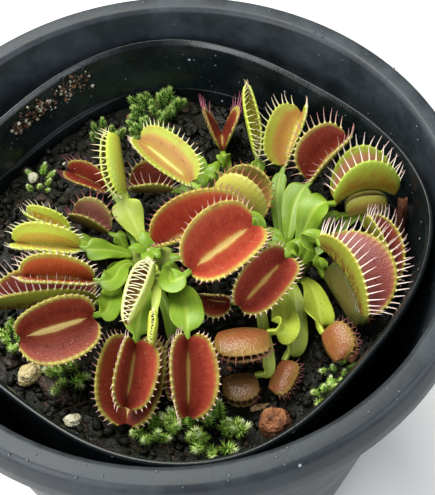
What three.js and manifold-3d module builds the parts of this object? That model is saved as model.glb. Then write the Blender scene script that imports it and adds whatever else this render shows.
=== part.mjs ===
// A potted venus flytrap, in millimetres, +Z up, with the origin at the middle of the pot's base.
//
// A round outer pot holds a thinner, squarish nursery pot. That is filled with dark peat, and three
// crowns stand in plain holes in it. Every leaf grows from a crown: a winged stalk that narrows to a
// neck, then two toothed lobes hinged at a midrib. Moss, stones and bark lie on the peat.
import * as THREE from 'three';
import * as BufferGeometryUtils from 'three/addons/utils/BufferGeometryUtils.js';
import Module from 'manifold-3d';

const wasm = await Module();
wasm.setup();

// Outer pot
const POT_HEIGHT = 122;
const POT_RIM_RADIUS = 70;
const POT_SKIRT_RADIUS = 71.5;
const POT_MOUTH_RADIUS = 64.5;
const POT_SKIRT_DEPTH = 9;
const POT_BASE_RADIUS = 52;
const POT_WALL = 2.8;
const POT_FLOOR = 3;
const POT_SIDES = 36;

// Nursery pot inside it
const TRAY_RIM_DROP = 8;
const TRAY_HALF_WIDTH = 57;
const TRAY_BASE_HALF_WIDTH = 44;
const TRAY_WALL = 1.2;
const TRAY_LIP = 2;
const TRAY_SQUARENESS = 2.64;
const TRAY_TURN = 50;
const TRAY_STEP_DROP = 20;
const SEAT_GAP = 0.3;

// Peat
const PEAT_DROP = 26;
const PEAT_BUMPS = 0.8;
const PEAT_FALL_TO_BACK = 0.03;
const PEAT_ROUGH_GAP = 0.4;
const MOSS_CUSHION_HEIGHT = 1.5;

// Leaves
const LOBE_COLUMNS = 7;
const TEETH_PER_LOBE = 2 * LOBE_COLUMNS;
const LOBE_OVERHANG = 0.11;
const LOBE_END_ANGLE = 14;
const LOBE_FULLNESS = 0.62;
const LOBE_THICKNESS_SHARE = 0.085;
const LOBE_THICKNESS_RANGE = [0.62, 0.85];
const TOOTH_SPLAY = 0.77;
const TOOTH_CURL = 12;
const STALK_THICKNESS = 0.9;
const NECK_HALF_WIDTH = 0.7;
const NECK_LENGTH = 2;
const LEAST_STALK_RISE = 25;
const STALK_SWING = 0.38;
const WING_RISE = 0.18;

// Crowns
const CROWN_RADIUS = 7;
const CROWN_TOP_RADIUS = 4.4;
const CROWN_DEPTH = 9;
const CROWN_SIDES = 14;
const CROWN_LOW_TIER = 2.4;
const CROWN_HIGH_TIER = 6.4;

const PEAT_LEVEL = POT_HEIGHT - PEAT_DROP;
const TRAY_TOP = POT_HEIGHT - TRAY_RIM_DROP;
const TRAY_BOTTOM = POT_FLOOR + SEAT_GAP;

const degrees = THREE.MathUtils.degToRad;

// Seeded draws, so that every run grows the same plant
let seed = 20;
function draw(low, high) {
  seed = (seed * 16807) % 2147483647;
  return low + (high - low) * (seed / 2147483647);
}

const potPlastic = { color: 0x454c54, roughness: 0.55, metalness: 0 };
const trayPlastic = { color: 0x0e1616, roughness: 0.3, metalness: 0 };
const peatFinish = { color: 0x1e1a14, roughness: 0.95, metalness: 0 };
const crownFinish = { color: 0xb9c98a, roughness: 0.6, metalness: 0 };
const mossFinish = { color: 0x4fa82e, roughness: 0.8, metalness: 0 };
const leafColours = {
  crimson: 0xb0402a,
  maroon: 0x8e2a22,
  amber: 0xc07838,
  lime: 0xb4c444,
  cream: 0xd9d48c,
  olive: 0x7c8038,
  rose: 0xb07858,
};

// Crowns: place on the peat
const crowns = {
  left: { x: -7, y: 0 },
  right: { x: 27, y: -1 },
  back: { x: 7, y: 24 },
};

// Leaves. at: where the stalk meets the hinge, with its height above the peat. heading and pitch: the
// way the hinge runs. roll: how far the mouth leans to the left of straight up, seen along the hinge.
// gape: the angle between the lobes. length and width: one lobe along and across the hinge.
// bend: how far each lobe curls in. tooth: the teeth's length. stalk: its greatest width.
// tier: which step of the crown the stalk grows from. leaves: the way it sets out from there.
// swing: how widely the stalk comes round to the hinge, where it is not the usual. arch: how far the
// middle of the hinge stands above its ends, where it does.
const leaves = [
  // Open red traps in the middle
  {
    name: 'leaf_crimson_behind', crown: 'right', tier: 'high', leaves: 165,
    at: [16.1, 3.7, 12.1], heading: -163, pitch: -1, roll: 9, gape: 51,
    length: 24.2, width: 12.6, bend: 12, tooth: 4, stalk: 4, colour: 'crimson',
  },
  {
    name: 'leaf_crimson_centre', crown: 'left', tier: 'high', leaves: -40,
    at: [4, -14.5, 18.6], heading: 35, pitch: 9, roll: -18, gape: 78,
    length: 20, width: 11.8, bend: 6, tooth: 5, stalk: 6, swing: 0.4, colour: 'crimson',
  },
  {
    name: 'leaf_maroon_centre', crown: 'right', tier: 'high', leaves: -70,
    at: [25.9, -8.8, 13.9], heading: -135, pitch: -13, roll: 22, gape: 70,
    length: 17.7, width: 9.4, bend: 6, tooth: 4, stalk: 4.4, swing: 0.25, colour: 'maroon',
  },
  {
    name: 'leaf_maroon_small', crown: 'right', tier: 'low', leaves: -158,
    at: [12.8, -15, 5], heading: 171, pitch: 2, roll: 48, gape: 60,
    length: 7.5, width: 5.5, bend: 8, tooth: 3, stalk: 4, colour: 'maroon',
  },
  // Right side
  {
    name: 'leaf_right_large', crown: 'right', tier: 'high', leaves: -40,
    at: [34.8, -6.7, 15.9], heading: -63, pitch: -13, roll: 36, gape: 84,
    length: 22, width: 11, bend: 10, tooth: 3.2, stalk: 7, swing: 0.2, arch: 2.2, colour: 'maroon',
  },
  {
    name: 'leaf_right_rear', crown: 'right', tier: 'low', leaves: 12,
    at: [47.5, 5, 6.5], heading: -76, pitch: -6, roll: 13, gape: 32,
    length: 19.5, width: 8, bend: 12, tooth: 2.5, stalk: 3, arch: 1.5, colour: 'maroon',
  },
  {
    name: 'leaf_right_olive', crown: 'right', tier: 'low', leaves: -9,
    at: [36.3, -8.4, 5], heading: -66, pitch: -4, roll: 41, gape: 20,
    length: 17, width: 10, bend: 46, tooth: 3, stalk: 4, colour: 'olive',
  },
  {
    name: 'leaf_right_young', crown: 'right', tier: 'low', leaves: 34,
    at: [43.2, 8.3, 7.6], heading: 4, pitch: 7, roll: 21, gape: 24,
    length: 10.8, width: 5.7, bend: 40, tooth: 1.5, stalk: 4, colour: 'lime',
  },
  {
    name: 'leaf_back_right_arched', crown: 'right', tier: 'high', leaves: 46,
    at: [39.8, 8.6, 12.2], heading: 8, pitch: 1, roll: 24, gape: 50,
    length: 17, width: 10.7, bend: 30, tooth: 4, stalk: 9, arch: 3, colour: 'lime',
  },
  {
    name: 'leaf_back_right_red', crown: 'right', tier: 'high', leaves: 78,
    at: [34.6, 17.4, 10.0], heading: 40, pitch: 25, roll: 6, gape: 57,
    length: 15.5, width: 10.3, bend: 8, tooth: 5, stalk: 7.5, colour: 'maroon',
  },
  // Back
  {
    name: 'leaf_back_green', crown: 'right', tier: 'low', leaves: 96,
    at: [28.1, 23.8, 8.2], heading: 68, pitch: 21, roll: 16, gape: 65,
    length: 17, width: 8.9, bend: 8, tooth: 4, stalk: 4, colour: 'amber',
  },
  {
    name: 'leaf_back_maroon', crown: 'back', tier: 'low', leaves: 40,
    at: [12.3, 32.4, 4.2], heading: 91, pitch: -25, roll: 0, gape: 52,
    length: 12.5, width: 10.5, bend: 4, tooth: 4, stalk: 4, colour: 'maroon',
  },
  {
    name: 'leaf_back_narrow', crown: 'back', tier: 'low', leaves: -8,
    at: [21.3, 31.1, 5.3], heading: 100, pitch: 37, roll: 4, gape: 42,
    length: 18.7, width: 6.7, bend: 30, tooth: 2, stalk: 4, colour: 'lime',
  },
  {
    name: 'leaf_amber_open', crown: 'back', tier: 'high', leaves: -90,
    at: [3.8, 16.3, 12], heading: 137, pitch: 8, roll: 2, gape: 88,
    length: 19.9, width: 7.4, bend: 6, tooth: 4, stalk: 4, swing: 0.3, colour: 'amber',
  },
  {
    name: 'leaf_amber_shaded', crown: 'left', tier: 'low', leaves: 60,
    at: [-1.6, 20.3, 3.8], heading: 181, pitch: 3, roll: -5, gape: 64,
    length: 11.5, width: 8, bend: 14, tooth: 4, stalk: 3, colour: 'maroon',
  },
  {
    name: 'leaf_yellow_closed', crown: 'right', tier: 'high', leaves: 106,
    at: [20, 8.4, 3.6], heading: 147, pitch: 14, roll: -29, gape: 35,
    length: 15, width: 14, bend: 46, tooth: 3, stalk: 3, colour: 'lime',
  },
  // Left side
  {
    name: 'leaf_lime_closed', crown: 'left', tier: 'high', leaves: 114,
    at: [-13, 15.5, 10], heading: 98, pitch: 29, roll: 34, gape: 28,
    length: 16, width: 8, bend: 46, tooth: 5, stalk: 8, colour: 'lime',
  },
  {
    name: 'leaf_left_red_small', crown: 'left', tier: 'low', leaves: 122,
    at: [-18.5, 21, 4.5], heading: 155, pitch: 9, roll: 22, gape: 50,
    length: 12, width: 7, bend: 6, tooth: 4, stalk: 4, colour: 'crimson',
  },
  {
    name: 'leaf_left_pink', crown: 'left', tier: 'low', leaves: 146,
    at: [-17.5, 7, 4], heading: 157, pitch: 6, roll: -4, gape: 46,
    length: 11, width: 8, bend: 12, tooth: 3, stalk: 4, colour: 'rose',
  },
  {
    name: 'leaf_left_amber', crown: 'left', tier: 'high', leaves: 178,
    at: [-24, -1, 9], heading: 174, pitch: 3, roll: 20, gape: 44,
    length: 17, width: 9, bend: 6, tooth: 4, stalk: 6, colour: 'amber',
  },
  {
    name: 'leaf_left_amber_narrow', crown: 'left', tier: 'low', leaves: 168,
    at: [-27, 4.5, 7], heading: 154, pitch: 8, roll: 6, gape: 36,
    length: 13, width: 6, bend: 8, tooth: 3, stalk: 4, colour: 'amber',
  },
  {
    name: 'leaf_left_orange', crown: 'left', tier: 'high', leaves: -150,
    at: [-19.6, -13.3, 13.3], heading: 175, pitch: 2, roll: 18, gape: 40,
    length: 17.5, width: 9.8, bend: 6, tooth: 3.5, stalk: 6, colour: 'crimson',
  },
  {
    name: 'leaf_left_maroon', crown: 'left', tier: 'low', leaves: -168,
    at: [-20.7, -13, 3.4], heading: 184, pitch: 2, roll: -12, gape: 48,
    length: 24.7, width: 10.2, bend: 10, tooth: 2, stalk: 3, swing: 0.3, colour: 'maroon',
  },
  // Front
  {
    name: 'leaf_front_left_red', crown: 'left', tier: 'low', leaves: -138,
    at: [-19.2, -22.7, 12.9], heading: -160, pitch: 4, roll: 39, gape: 87,
    length: 18.8, width: 10.3, bend: 6, tooth: 3, stalk: 6, swing: 0.2, colour: 'maroon',
  },
  {
    name: 'leaf_cream_closed', crown: 'left', tier: 'high', leaves: -104,
    at: [-6.3, -11.5, 11.5], heading: -105, pitch: 17, roll: 0, gape: 30,
    length: 19, width: 8, bend: 46, tooth: 3, stalk: 3, colour: 'cream',
  },
  {
    name: 'leaf_cream_young', crown: 'left', tier: 'high', leaves: -75,
    at: [-4.5, -25.1, 16.5], heading: -94, pitch: -2, roll: 0, gape: 36,
    length: 8, width: 4, bend: 40, tooth: 1, stalk: 2.2, colour: 'cream',
  },
  {
    name: 'leaf_front_brown', crown: 'left', tier: 'low', leaves: -120,
    at: [-9.6, -25.7, 4.5], heading: -96, pitch: -7, roll: 4, gape: 94,
    length: 21.8, width: 10.4, bend: 6, tooth: 3, stalk: 4, colour: 'maroon',
  },
  {
    name: 'leaf_front_russet', crown: 'left', tier: 'low', leaves: -95,
    at: [-9.3, -29.0, 10.8], heading: -100, pitch: -19, roll: 20, gape: 60,
    length: 16.1, width: 9.5, bend: 6, tooth: 4, stalk: 7, colour: 'crimson',
  },
  {
    name: 'leaf_front_scarlet', crown: 'left', tier: 'low', leaves: -57,
    at: [2.6, -28.7, 11.2], heading: -91, pitch: -21, roll: 12, gape: 55,
    length: 19.1, width: 11.1, bend: 6, tooth: 4, stalk: 8, colour: 'crimson',
  },
  {
    name: 'leaf_front_shaded', crown: 'left', tier: 'low', leaves: -76,
    at: [-1.2, -26, 2.5], heading: -90, pitch: 0, roll: 0, gape: 28,
    length: 15, width: 6, bend: 40, tooth: 2, stalk: 3, colour: 'maroon',
  },
  {
    name: 'leaf_front_pink_closed', crown: 'right', tier: 'low', leaves: -104,
    at: [21, -27, 10.6], heading: -179, pitch: -2, roll: 74, gape: 28,
    length: 13, width: 10, bend: 46, tooth: 3, stalk: 7, swing: 0.25, colour: 'rose',
  },
  {
    name: 'leaf_front_olive_closed', crown: 'right', tier: 'low', leaves: -126,
    at: [18, -34.6, 3.8], heading: -172, pitch: 0, roll: 84, gape: 30,
    length: 8.5, width: 8, bend: 40, tooth: 2, stalk: 3, swing: 0.15, colour: 'olive',
  },
  {
    name: 'leaf_front_rose_closed', crown: 'right', tier: 'low', leaves: -81,
    at: [25.3, -30.4, 3.0], heading: -118, pitch: -6, roll: 82, gape: 20,
    length: 9, width: 5.6, bend: 46, tooth: 3, stalk: 7, swing: 0.15, colour: 'rose',
  },
  {
    name: 'leaf_front_orange_closed', crown: 'right', tier: 'low', leaves: -56,
    at: [34.5, -25, 6.5], heading: -70, pitch: 0, roll: 60, gape: 30,
    length: 9, width: 7.5, bend: 46, tooth: 3, stalk: 8, swing: 0.15, colour: 'rose',
  },
];

// One closed body from a geometry: its doubled vertices are merged
function closed(geometry) {
  const bare = geometry.index ? geometry.toNonIndexed() : geometry;
  bare.deleteAttribute('normal');
  bare.deleteAttribute('uv');
  return BufferGeometryUtils.mergeVertices(bare, 1e-4);
}

function toManifold(geometry) {
  const merged = closed(geometry);
  const vertProperties = new Float32Array(merged.attributes.position.array);
  const triVerts = new Uint32Array(merged.index.array);
  return new wasm.Manifold(new wasm.Mesh({ numProp: 3, vertProperties, triVerts }));
}

function fromManifold(solid) {
  const mesh = solid.getMesh();
  const geometry = new THREE.BufferGeometry();
  geometry.setAttribute('position', new THREE.BufferAttribute(new Float32Array(mesh.vertProperties), 3));
  geometry.setIndex(new THREE.BufferAttribute(new Uint32Array(mesh.triVerts), 1));
  return geometry;
}

function piece(name, geometry, finish) {
  const shaded = geometry.index ? geometry : closed(geometry);
  shaded.computeVertexNormals();
  const mesh = new THREE.Mesh(shaded, new THREE.MeshStandardMaterial(finish));
  mesh.name = name;
  return mesh;
}

// A profile of [radius, height] points turned about the Z axis
function turned(profile, sides) {
  const points = profile.map(([radius, height]) => new THREE.Vector2(radius, height));
  return closed(new THREE.LatheGeometry(points, sides).rotateX(Math.PI / 2));
}

// The nursery pot's plan is a rounded square: this is its reach for a half width of 1
function squareReach(x, y) {
  const angle = Math.atan2(y, x) - degrees(TRAY_TURN);
  const across = Math.abs(Math.cos(angle)) ** TRAY_SQUARENESS;
  const along = Math.abs(Math.sin(angle)) ** TRAY_SQUARENESS;
  return (across + along) ** (-1 / TRAY_SQUARENESS);
}

function squared(geometry) {
  const position = geometry.attributes.position;
  for (let i = 0; i < position.count; i += 1) {
    const reach = squareReach(position.getX(i), position.getY(i));
    position.setXY(i, position.getX(i) * reach, position.getY(i) * reach);
  }
  return geometry;
}

function outerPot() {
  const skirtBottom = POT_HEIGHT - POT_SKIRT_DEPTH;
  const wallTop = POT_MOUTH_RADIUS - 0.6 + POT_WALL;
  return turned([
    [0, 0],
    [POT_BASE_RADIUS - 2, 0],
    [POT_BASE_RADIUS, 2],
    [wallTop, skirtBottom],
    [POT_SKIRT_RADIUS, skirtBottom + 0.8],
    [POT_RIM_RADIUS, POT_HEIGHT - 1],
    [POT_RIM_RADIUS - 1, POT_HEIGHT],
    [POT_MOUTH_RADIUS + 1, POT_HEIGHT],
    [POT_MOUTH_RADIUS, POT_HEIGHT - 1],
    [POT_MOUTH_RADIUS - 0.6, skirtBottom],
    [POT_BASE_RADIUS - POT_WALL, POT_FLOOR],
    [0, POT_FLOOR],
  ], POT_SIDES);
}

// Half width of the nursery pot's inner face at a height
function trayInside(height) {
  const share = (height - TRAY_BOTTOM) / (TRAY_TOP - TRAY_BOTTOM);
  const outside = THREE.MathUtils.lerp(TRAY_BASE_HALF_WIDTH, TRAY_HALF_WIDTH - 0.8, share);
  return outside - TRAY_WALL;
}

function nurseryPot() {
  const step = TRAY_TOP - TRAY_STEP_DROP;
  return squared(turned([
    [0, TRAY_BOTTOM],
    [TRAY_BASE_HALF_WIDTH, TRAY_BOTTOM],
    [trayInside(TRAY_TOP - 3) + TRAY_WALL, TRAY_TOP - 3],
    [TRAY_HALF_WIDTH, TRAY_TOP - 2.4],
    [TRAY_HALF_WIDTH, TRAY_TOP],
    [TRAY_HALF_WIDTH - TRAY_LIP, TRAY_TOP],
    [trayInside(step), step],
    [trayInside(TRAY_BOTTOM + TRAY_WALL), TRAY_BOTTOM + TRAY_WALL],
    [0, TRAY_BOTTOM + TRAY_WALL],
  ], POT_SIDES));
}

// The peat's surface: it falls a little to the back, with bumps that fade near the crowns
function peatHeight(x, y) {
  const slope = -PEAT_FALL_TO_BACK * Math.max(y, 0);
  const bumps = Math.sin(x * 0.31 + 1) * Math.cos(y * 0.27) + Math.sin(x * 0.13 - y * 0.19 + 2);
  return PEAT_LEVEL + slope + PEAT_BUMPS * 0.5 * bumps;
}

function peat() {
  const bottom = TRAY_BOTTOM + TRAY_WALL + SEAT_GAP;
  const rings = [1, 0.82, 0.62, 0.42, 0.2];
  const edge = trayInside(PEAT_LEVEL) - SEAT_GAP - 0.2;
  const profile = [[0, bottom], [trayInside(bottom) - SEAT_GAP, bottom]];
  rings.forEach((share) => profile.push([edge * share, PEAT_LEVEL]));
  profile.push([0, PEAT_LEVEL]);
  const body = squared(turned(profile, POT_SIDES));
  const position = body.attributes.position;
  for (let i = 0; i < position.count; i += 1) {
    if (position.getZ(i) > PEAT_LEVEL - 1) {
      position.setZ(i, peatHeight(position.getX(i), position.getY(i)));
    }
  }
  let solid = toManifold(body);
  Object.values(crowns).forEach(({ x, y }) => {
    const radius = CROWN_RADIUS + SEAT_GAP;
    const depth = 2 * (CROWN_DEPTH + SEAT_GAP);
    const hole = new THREE.CylinderGeometry(radius, radius, depth, CROWN_SIDES);
    hole.rotateX(Math.PI / 2).translate(x, y, PEAT_LEVEL);
    solid = solid.subtract(toManifold(hole));
  });
  stones.forEach((stone) => {
    solid = solid.subtract(toManifold(stoneGeometry(stone, PEAT_ROUGH_GAP)));
  });
  mosses.forEach((moss) => {
    solid = solid.subtract(toManifold(mossCushion(moss, PEAT_ROUGH_GAP)));
  });
  return fromManifold(solid);
}

// A crown: the stepped stump of old leaf bases that the stalks grow round
function crownGeometry({ x, y }) {
  const bottom = PEAT_LEVEL - CROWN_DEPTH;
  return turned([
    [0, bottom],
    [CROWN_RADIUS, bottom],
    [CROWN_RADIUS, PEAT_LEVEL + CROWN_LOW_TIER],
    [CROWN_TOP_RADIUS, PEAT_LEVEL + CROWN_LOW_TIER],
    [CROWN_TOP_RADIUS, PEAT_LEVEL + CROWN_HIGH_TIER],
    [0, PEAT_LEVEL + CROWN_HIGH_TIER + 1.5],
  ], CROWN_SIDES).translate(x, y, 0);
}

// The way that points along a compass turn and up by a lift
function direction(turn, lift) {
  const level = Math.cos(lift);
  return new THREE.Vector3(Math.cos(turn) * level, Math.sin(turn) * level, Math.sin(lift));
}

// The directions of one leaf's hinge, its mouth and its left side
function hingeFrame({ heading, pitch, roll }) {
  const turn = degrees(heading);
  const lift = degrees(pitch);
  const lean = degrees(roll);
  const along = direction(turn, lift);
  const up = direction(turn, lift + Math.PI / 2);
  const left = new THREE.Vector3().crossVectors(up, along);
  const mouth = up.clone().multiplyScalar(Math.cos(lean)).addScaledVector(left, Math.sin(lean));
  const side = left.clone().multiplyScalar(Math.cos(lean)).addScaledVector(up, -Math.sin(lean));
  return { along, mouth, side };
}

// How far out and up a lobe has gone at share v of the way from the hinge to its margin
function lobeSection(leaf, v) {
  const steps = 8;
  let out = 0;
  let up = 0;
  for (let i = 0; i < steps; i += 1) {
    const angle = degrees(leaf.gape / 2 + leaf.bend * (1 - 2 * ((i + 0.5) / steps) * v));
    out += (Math.sin(angle) * v) / steps;
    up += (Math.cos(angle) * v) / steps;
  }
  return { out, up };
}

// The margin is part of an oval, less a bit at each end: the angle round it, and its share of the width
function marginAngle(share) {
  return degrees(LOBE_END_ANGLE + (180 - 2 * LOBE_END_ANGLE) * share);
}

function marginReach(share) {
  return Math.sin(marginAngle(share)) ** LOBE_FULLNESS;
}

// A point of a lobe. k counts the teeth along the margin, v goes from hinge to margin.
function lobePoint(leaf, frame, sign, k, v) {
  const stagger = sign > 0 || k === 0 || k === TEETH_PER_LOBE ? 0 : 0.5;
  const share = (k + stagger) / TEETH_PER_LOBE;
  const hinge = leaf.length * (1 - LOBE_OVERHANG);
  const marginAlong = hinge / 2 - (leaf.length / 2) * Math.cos(marginAngle(share));
  const hingeAlong = hinge * (k / TEETH_PER_LOBE);
  const reach = leaf.width * marginReach(share);
  const { out, up } = lobeSection(leaf, v);
  const along = THREE.MathUtils.lerp(hingeAlong, marginAlong, v);
  const arched = THREE.MathUtils.clamp(along / hinge, 0, 1);
  const arch = (leaf.arch ?? 0) * 4 * arched * (1 - arched);
  return frame.origin.clone()
    .addScaledVector(frame.along, along)
    .addScaledVector(frame.mouth, reach * up + arch)
    .addScaledVector(frame.side, sign * reach * out);
}

// Where a stalk leaves its crown
function stalkRoot(leaf, neck) {
  const crown = crowns[leaf.crown];
  const high = leaf.tier === 'high';
  const radius = (high ? CROWN_TOP_RADIUS : CROWN_RADIUS) + 0.8;
  const height = PEAT_LEVEL + (high ? CROWN_LOW_TIER + 1.6 : 1.7);
  const away = degrees(leaf.leaves);
  const root = direction(away, 0).multiplyScalar(radius).add(new THREE.Vector3(crown.x, crown.y, height));
  const level = Math.hypot(neck.x - root.x, neck.y - root.y);
  const rise = Math.max(degrees(LEAST_STALK_RISE), Math.atan2(neck.z - root.z, level));
  return { root, out: direction(away, rise) };
}

// The stalk's stations: [share of its length, half width as a share of the full half width]
const stalkStations = [[0, 0], [0.3, 0.45], [0.58, 0.9], [0.8, 1], [1, 0]];
const stalkRootHalfWidth = 1.2;

// Five points across the stalk at each station, from its left edge to its right
function stalkRows(leaf, frame) {
  const neck = frame.origin.clone().addScaledVector(frame.along, -NECK_LENGTH);
  const { root, out } = stalkRoot(leaf, neck);
  const span = root.distanceTo(neck);
  const path = new THREE.CubicBezierCurve3(
    root,
    root.clone().addScaledVector(out, span * STALK_SWING),
    neck.clone().addScaledVector(frame.along, -span * (leaf.swing ?? STALK_SWING)),
    neck,
  );
  return stalkStations.map(([share, fullness]) => {
    const centre = path.getPoint(share);
    const along = path.getTangent(share);
    const upward = new THREE.Vector3(0, 0, 1).lerp(frame.mouth, share ** 3);
    const across = new THREE.Vector3().crossVectors(along, upward).normalize();
    const normal = new THREE.Vector3().crossVectors(across, along);
    const least = THREE.MathUtils.lerp(stalkRootHalfWidth, NECK_HALF_WIDTH, share);
    const half = least + Math.max(leaf.stalk / 2 - least, 0) * fullness;
    return [-1, -0.5, 0, 0.5, 1].map((at) => centre.clone()
      .addScaledVector(across, at * half)
      .addScaledVector(normal, Math.abs(at) * half * WING_RISE));
  });
}

// A leaf is one closed sheet with a top and an underside. Rows of points run across it, and the lobes'
// margins have one more point between rows, so that each margin step carries a tooth.
function leafGeometry(leaf) {
  const frame = hingeFrame(leaf);
  const [x, y, rise] = leaf.at;
  frame.origin = new THREE.Vector3(x, y, PEAT_LEVEL + rise);
  const rows = stalkRows(leaf, frame);
  const stalkCount = rows.length;
  for (let column = 0; column <= LOBE_COLUMNS; column += 1) {
    const k = 2 * column;
    rows.push([
      lobePoint(leaf, frame, 1, k, 1),
      lobePoint(leaf, frame, 1, k, 0.5),
      lobePoint(leaf, frame, 1, k, 0),
      lobePoint(leaf, frame, -1, k, 0.5),
      lobePoint(leaf, frame, -1, k, 1),
    ]);
  }
  const lobeThickness = THREE.MathUtils.clamp(leaf.width * LOBE_THICKNESS_SHARE, ...LOBE_THICKNESS_RANGE);
  // A lobe's normals follow its curve, and the stalk has one normal right across each row
  const normals = rows.map((row, i) => row.map((point, column) => {
    const onStalk = i < stalkCount;
    const j = onStalk ? 2 : column;
    const before = rows[Math.max(i - 1, 0)][j];
    const after = rows[Math.min(i + 1, rows.length - 1)][j];
    const along = after.clone().sub(before);
    const [from, to] = onStalk ? [0, 4] : [Math.max(j - 1, 0), Math.min(j + 1, 4)];
    return row[to].clone().sub(row[from]).cross(along).normalize();
  }));
  const vertices = [];
  const triangles = [];
  const addPair = (point, normal, thickness) => {
    vertices.push(point.clone().addScaledVector(normal, thickness / 2));
    vertices.push(point.clone().addScaledVector(normal, -thickness / 2));
    return vertices.length - 2;
  };
  const grid = rows.map((row, i) => row.map((point, j) => {
    const thickness = i < stalkCount - 1 ? STALK_THICKNESS : lobeThickness;
    return addPair(point, normals[i][j], thickness);
  }));
  // The extra margin points, left and right, between lobe rows
  const between = rows.map((row, i) => {
    if (i < stalkCount || i === rows.length - 1) {
      return null;
    }
    const k = 2 * (i - stalkCount) + 1;
    return [[1, 0], [-1, 4]].map(([sign, j]) => {
      const normal = normals[i][j].clone().add(normals[i + 1][j]).normalize();
      return addPair(lobePoint(leaf, frame, sign, k, 1), normal, lobeThickness);
    });
  });
  // Each face is given for the top, and once more, turned over, for the underside
  const face = (a, b, c) => {
    triangles.push(a, b, c);
    triangles.push(c + 1, b + 1, a + 1);
  };
  for (let i = 0; i < rows.length - 1; i += 1) {
    const extra = between[i];
    for (let j = 0; j < 4; j += 1) {
      const [a, b] = [grid[i][j], grid[i][j + 1]];
      const [d, c] = [grid[i + 1][j], grid[i + 1][j + 1]];
      if (extra && j === 0) {
        face(a, b, extra[0]);
        face(b, c, extra[0]);
        face(c, d, extra[0]);
      } else if (extra && j === 3) {
        face(b, extra[1], a);
        face(a, extra[1], d);
        face(d, extra[1], c);
      } else if (j < 2) {
        face(a, b, c);
        face(a, c, d);
      } else {
        face(a, b, d);
        face(b, c, d);
      }
    }
  }
  // Closes the edge between two neighbouring pairs, plainly or drawn out to a tooth's tip
  const edge = (from, to, tip) => {
    if (tip === undefined) {
      const onward = vertices[from].distanceTo(vertices[to + 1]);
      const backward = vertices[to].distanceTo(vertices[from + 1]);
      if (onward < backward) {
        triangles.push(from, to, to + 1);
        triangles.push(from, to + 1, from + 1);
      } else {
        triangles.push(from, to, from + 1);
        triangles.push(to, to + 1, from + 1);
      }
      return;
    }
    vertices.push(tip);
    const point = vertices.length - 1;
    const ring = [from, to, to + 1, from + 1];
    ring.forEach((corner, n) => triangles.push(corner, ring[(n + 1) % 4], point));
  };
  const toothTip = (sign, k) => {
    const root = lobePoint(leaf, frame, sign, k, 1).lerp(lobePoint(leaf, frame, sign, k + 1, 1), 0.5);
    const share = (k + 0.5) / TEETH_PER_LOBE;
    const splay = (share - 0.5) * TOOTH_SPLAY * leaf.tooth;
    const reach = leaf.width * marginReach(share);
    const room = Math.max(reach * lobeSection(leaf, 1).out - lobeThickness, 0.1);
    const inward = Math.sin(degrees(leaf.gape / 2 - leaf.bend - TOOTH_CURL)) * leaf.tooth;
    const outward = Math.max(inward, -room);
    const upward = Math.sqrt(Math.max(leaf.tooth ** 2 - outward ** 2, 0.1));
    return root
      .addScaledVector(frame.along, splay)
      .addScaledVector(frame.mouth, upward)
      .addScaledVector(frame.side, sign * outward);
  };
  for (let i = 0; i < rows.length - 1; i += 1) {
    if (between[i]) {
      const k = 2 * (i - stalkCount);
      edge(grid[i][0], between[i][0], toothTip(1, k));
      edge(between[i][0], grid[i + 1][0], toothTip(1, k + 1));
      edge(between[i][1], grid[i][4], toothTip(-1, k));
      edge(grid[i + 1][4], between[i][1], toothTip(-1, k + 1));
    } else {
      edge(grid[i][0], grid[i + 1][0]);
      edge(grid[i + 1][4], grid[i][4]);
    }
  }
  const last = rows.length - 1;
  for (let j = 0; j < 4; j += 1) {
    edge(grid[0][j + 1], grid[0][j]);
    edge(grid[last][j], grid[last][j + 1]);
  }
  const geometry = new THREE.BufferGeometry();
  geometry.setFromPoints(vertices);
  geometry.setIndex(triangles);
  return geometry;
}

// Moss: each clump is a low cushion with feathery shoots that lean out from its middle
const mosses = [
  { name: 'moss_front', x: 6.8, y: -46.3, across: 13, deep: 8, shoots: 9, height: 7.5 },
  { name: 'moss_front_left', x: -5, y: -46, across: 6, deep: 5, shoots: 4, height: 6 },
  { name: 'moss_left', x: -39, y: -21.5, across: 6, deep: 8, shoots: 3, height: 5 },
  { name: 'moss_right', x: 34.2, y: -37.6, across: 4.2, deep: 3.4, shoots: 2, height: 3.4 },
  { name: 'moss_back', x: -8, y: 44, across: 8, deep: 6, shoots: 4, height: 8 },
];

function mossCushion(moss, grow) {
  const cushion = closed(new THREE.IcosahedronGeometry(1, 0));
  cushion.scale(moss.across / 2 + grow, moss.deep / 2 + grow, MOSS_CUSHION_HEIGHT + grow);
  return cushion.translate(moss.x, moss.y, peatHeight(moss.x, moss.y));
}

// One shoot stands on the origin: two whorls of leaves, each drawn as a star
function mossShoot(height) {
  const radius = height * 0.24;
  const shoot = turned([[0, 0], [radius, 0.3 * height], [0.35 * radius, 0.5 * height],
    [0.75 * radius, 0.62 * height], [0, height]], 6);
  const position = shoot.attributes.position;
  for (let i = 0; i < position.count; i += 1) {
    const [x, y] = [position.getX(i), position.getY(i)];
    const pinch = 1 + 0.45 * Math.cos(3 * Math.atan2(y, x));
    position.setXY(i, x * pinch, y * pinch);
  }
  return shoot;
}

function mossGeometry(moss) {
  const ground = peatHeight(moss.x, moss.y);
  let clump = toManifold(mossCushion(moss, 0));
  for (let i = 0; i < moss.shoots; i += 1) {
    const around = 2 * Math.PI * (i / moss.shoots) + draw(-0.3, 0.3);
    const spread = moss.shoots > 3 && i % 3 === 0 ? 0.2 : 0.58;
    const [east, north] = [Math.cos(around) * spread, Math.sin(around) * spread];
    const shoot = mossShoot(moss.height * draw(0.8, 1));
    shoot.rotateZ(draw(0, Math.PI));
    shoot.rotateX(-north * 0.7);
    shoot.rotateY(east * 0.7);
    shoot.translate(moss.x + east * moss.across / 2, moss.y + north * moss.deep / 2, ground + 0.2);
    clump = clump.add(toManifold(shoot));
  }
  return fromManifold(clump);
}

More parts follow.
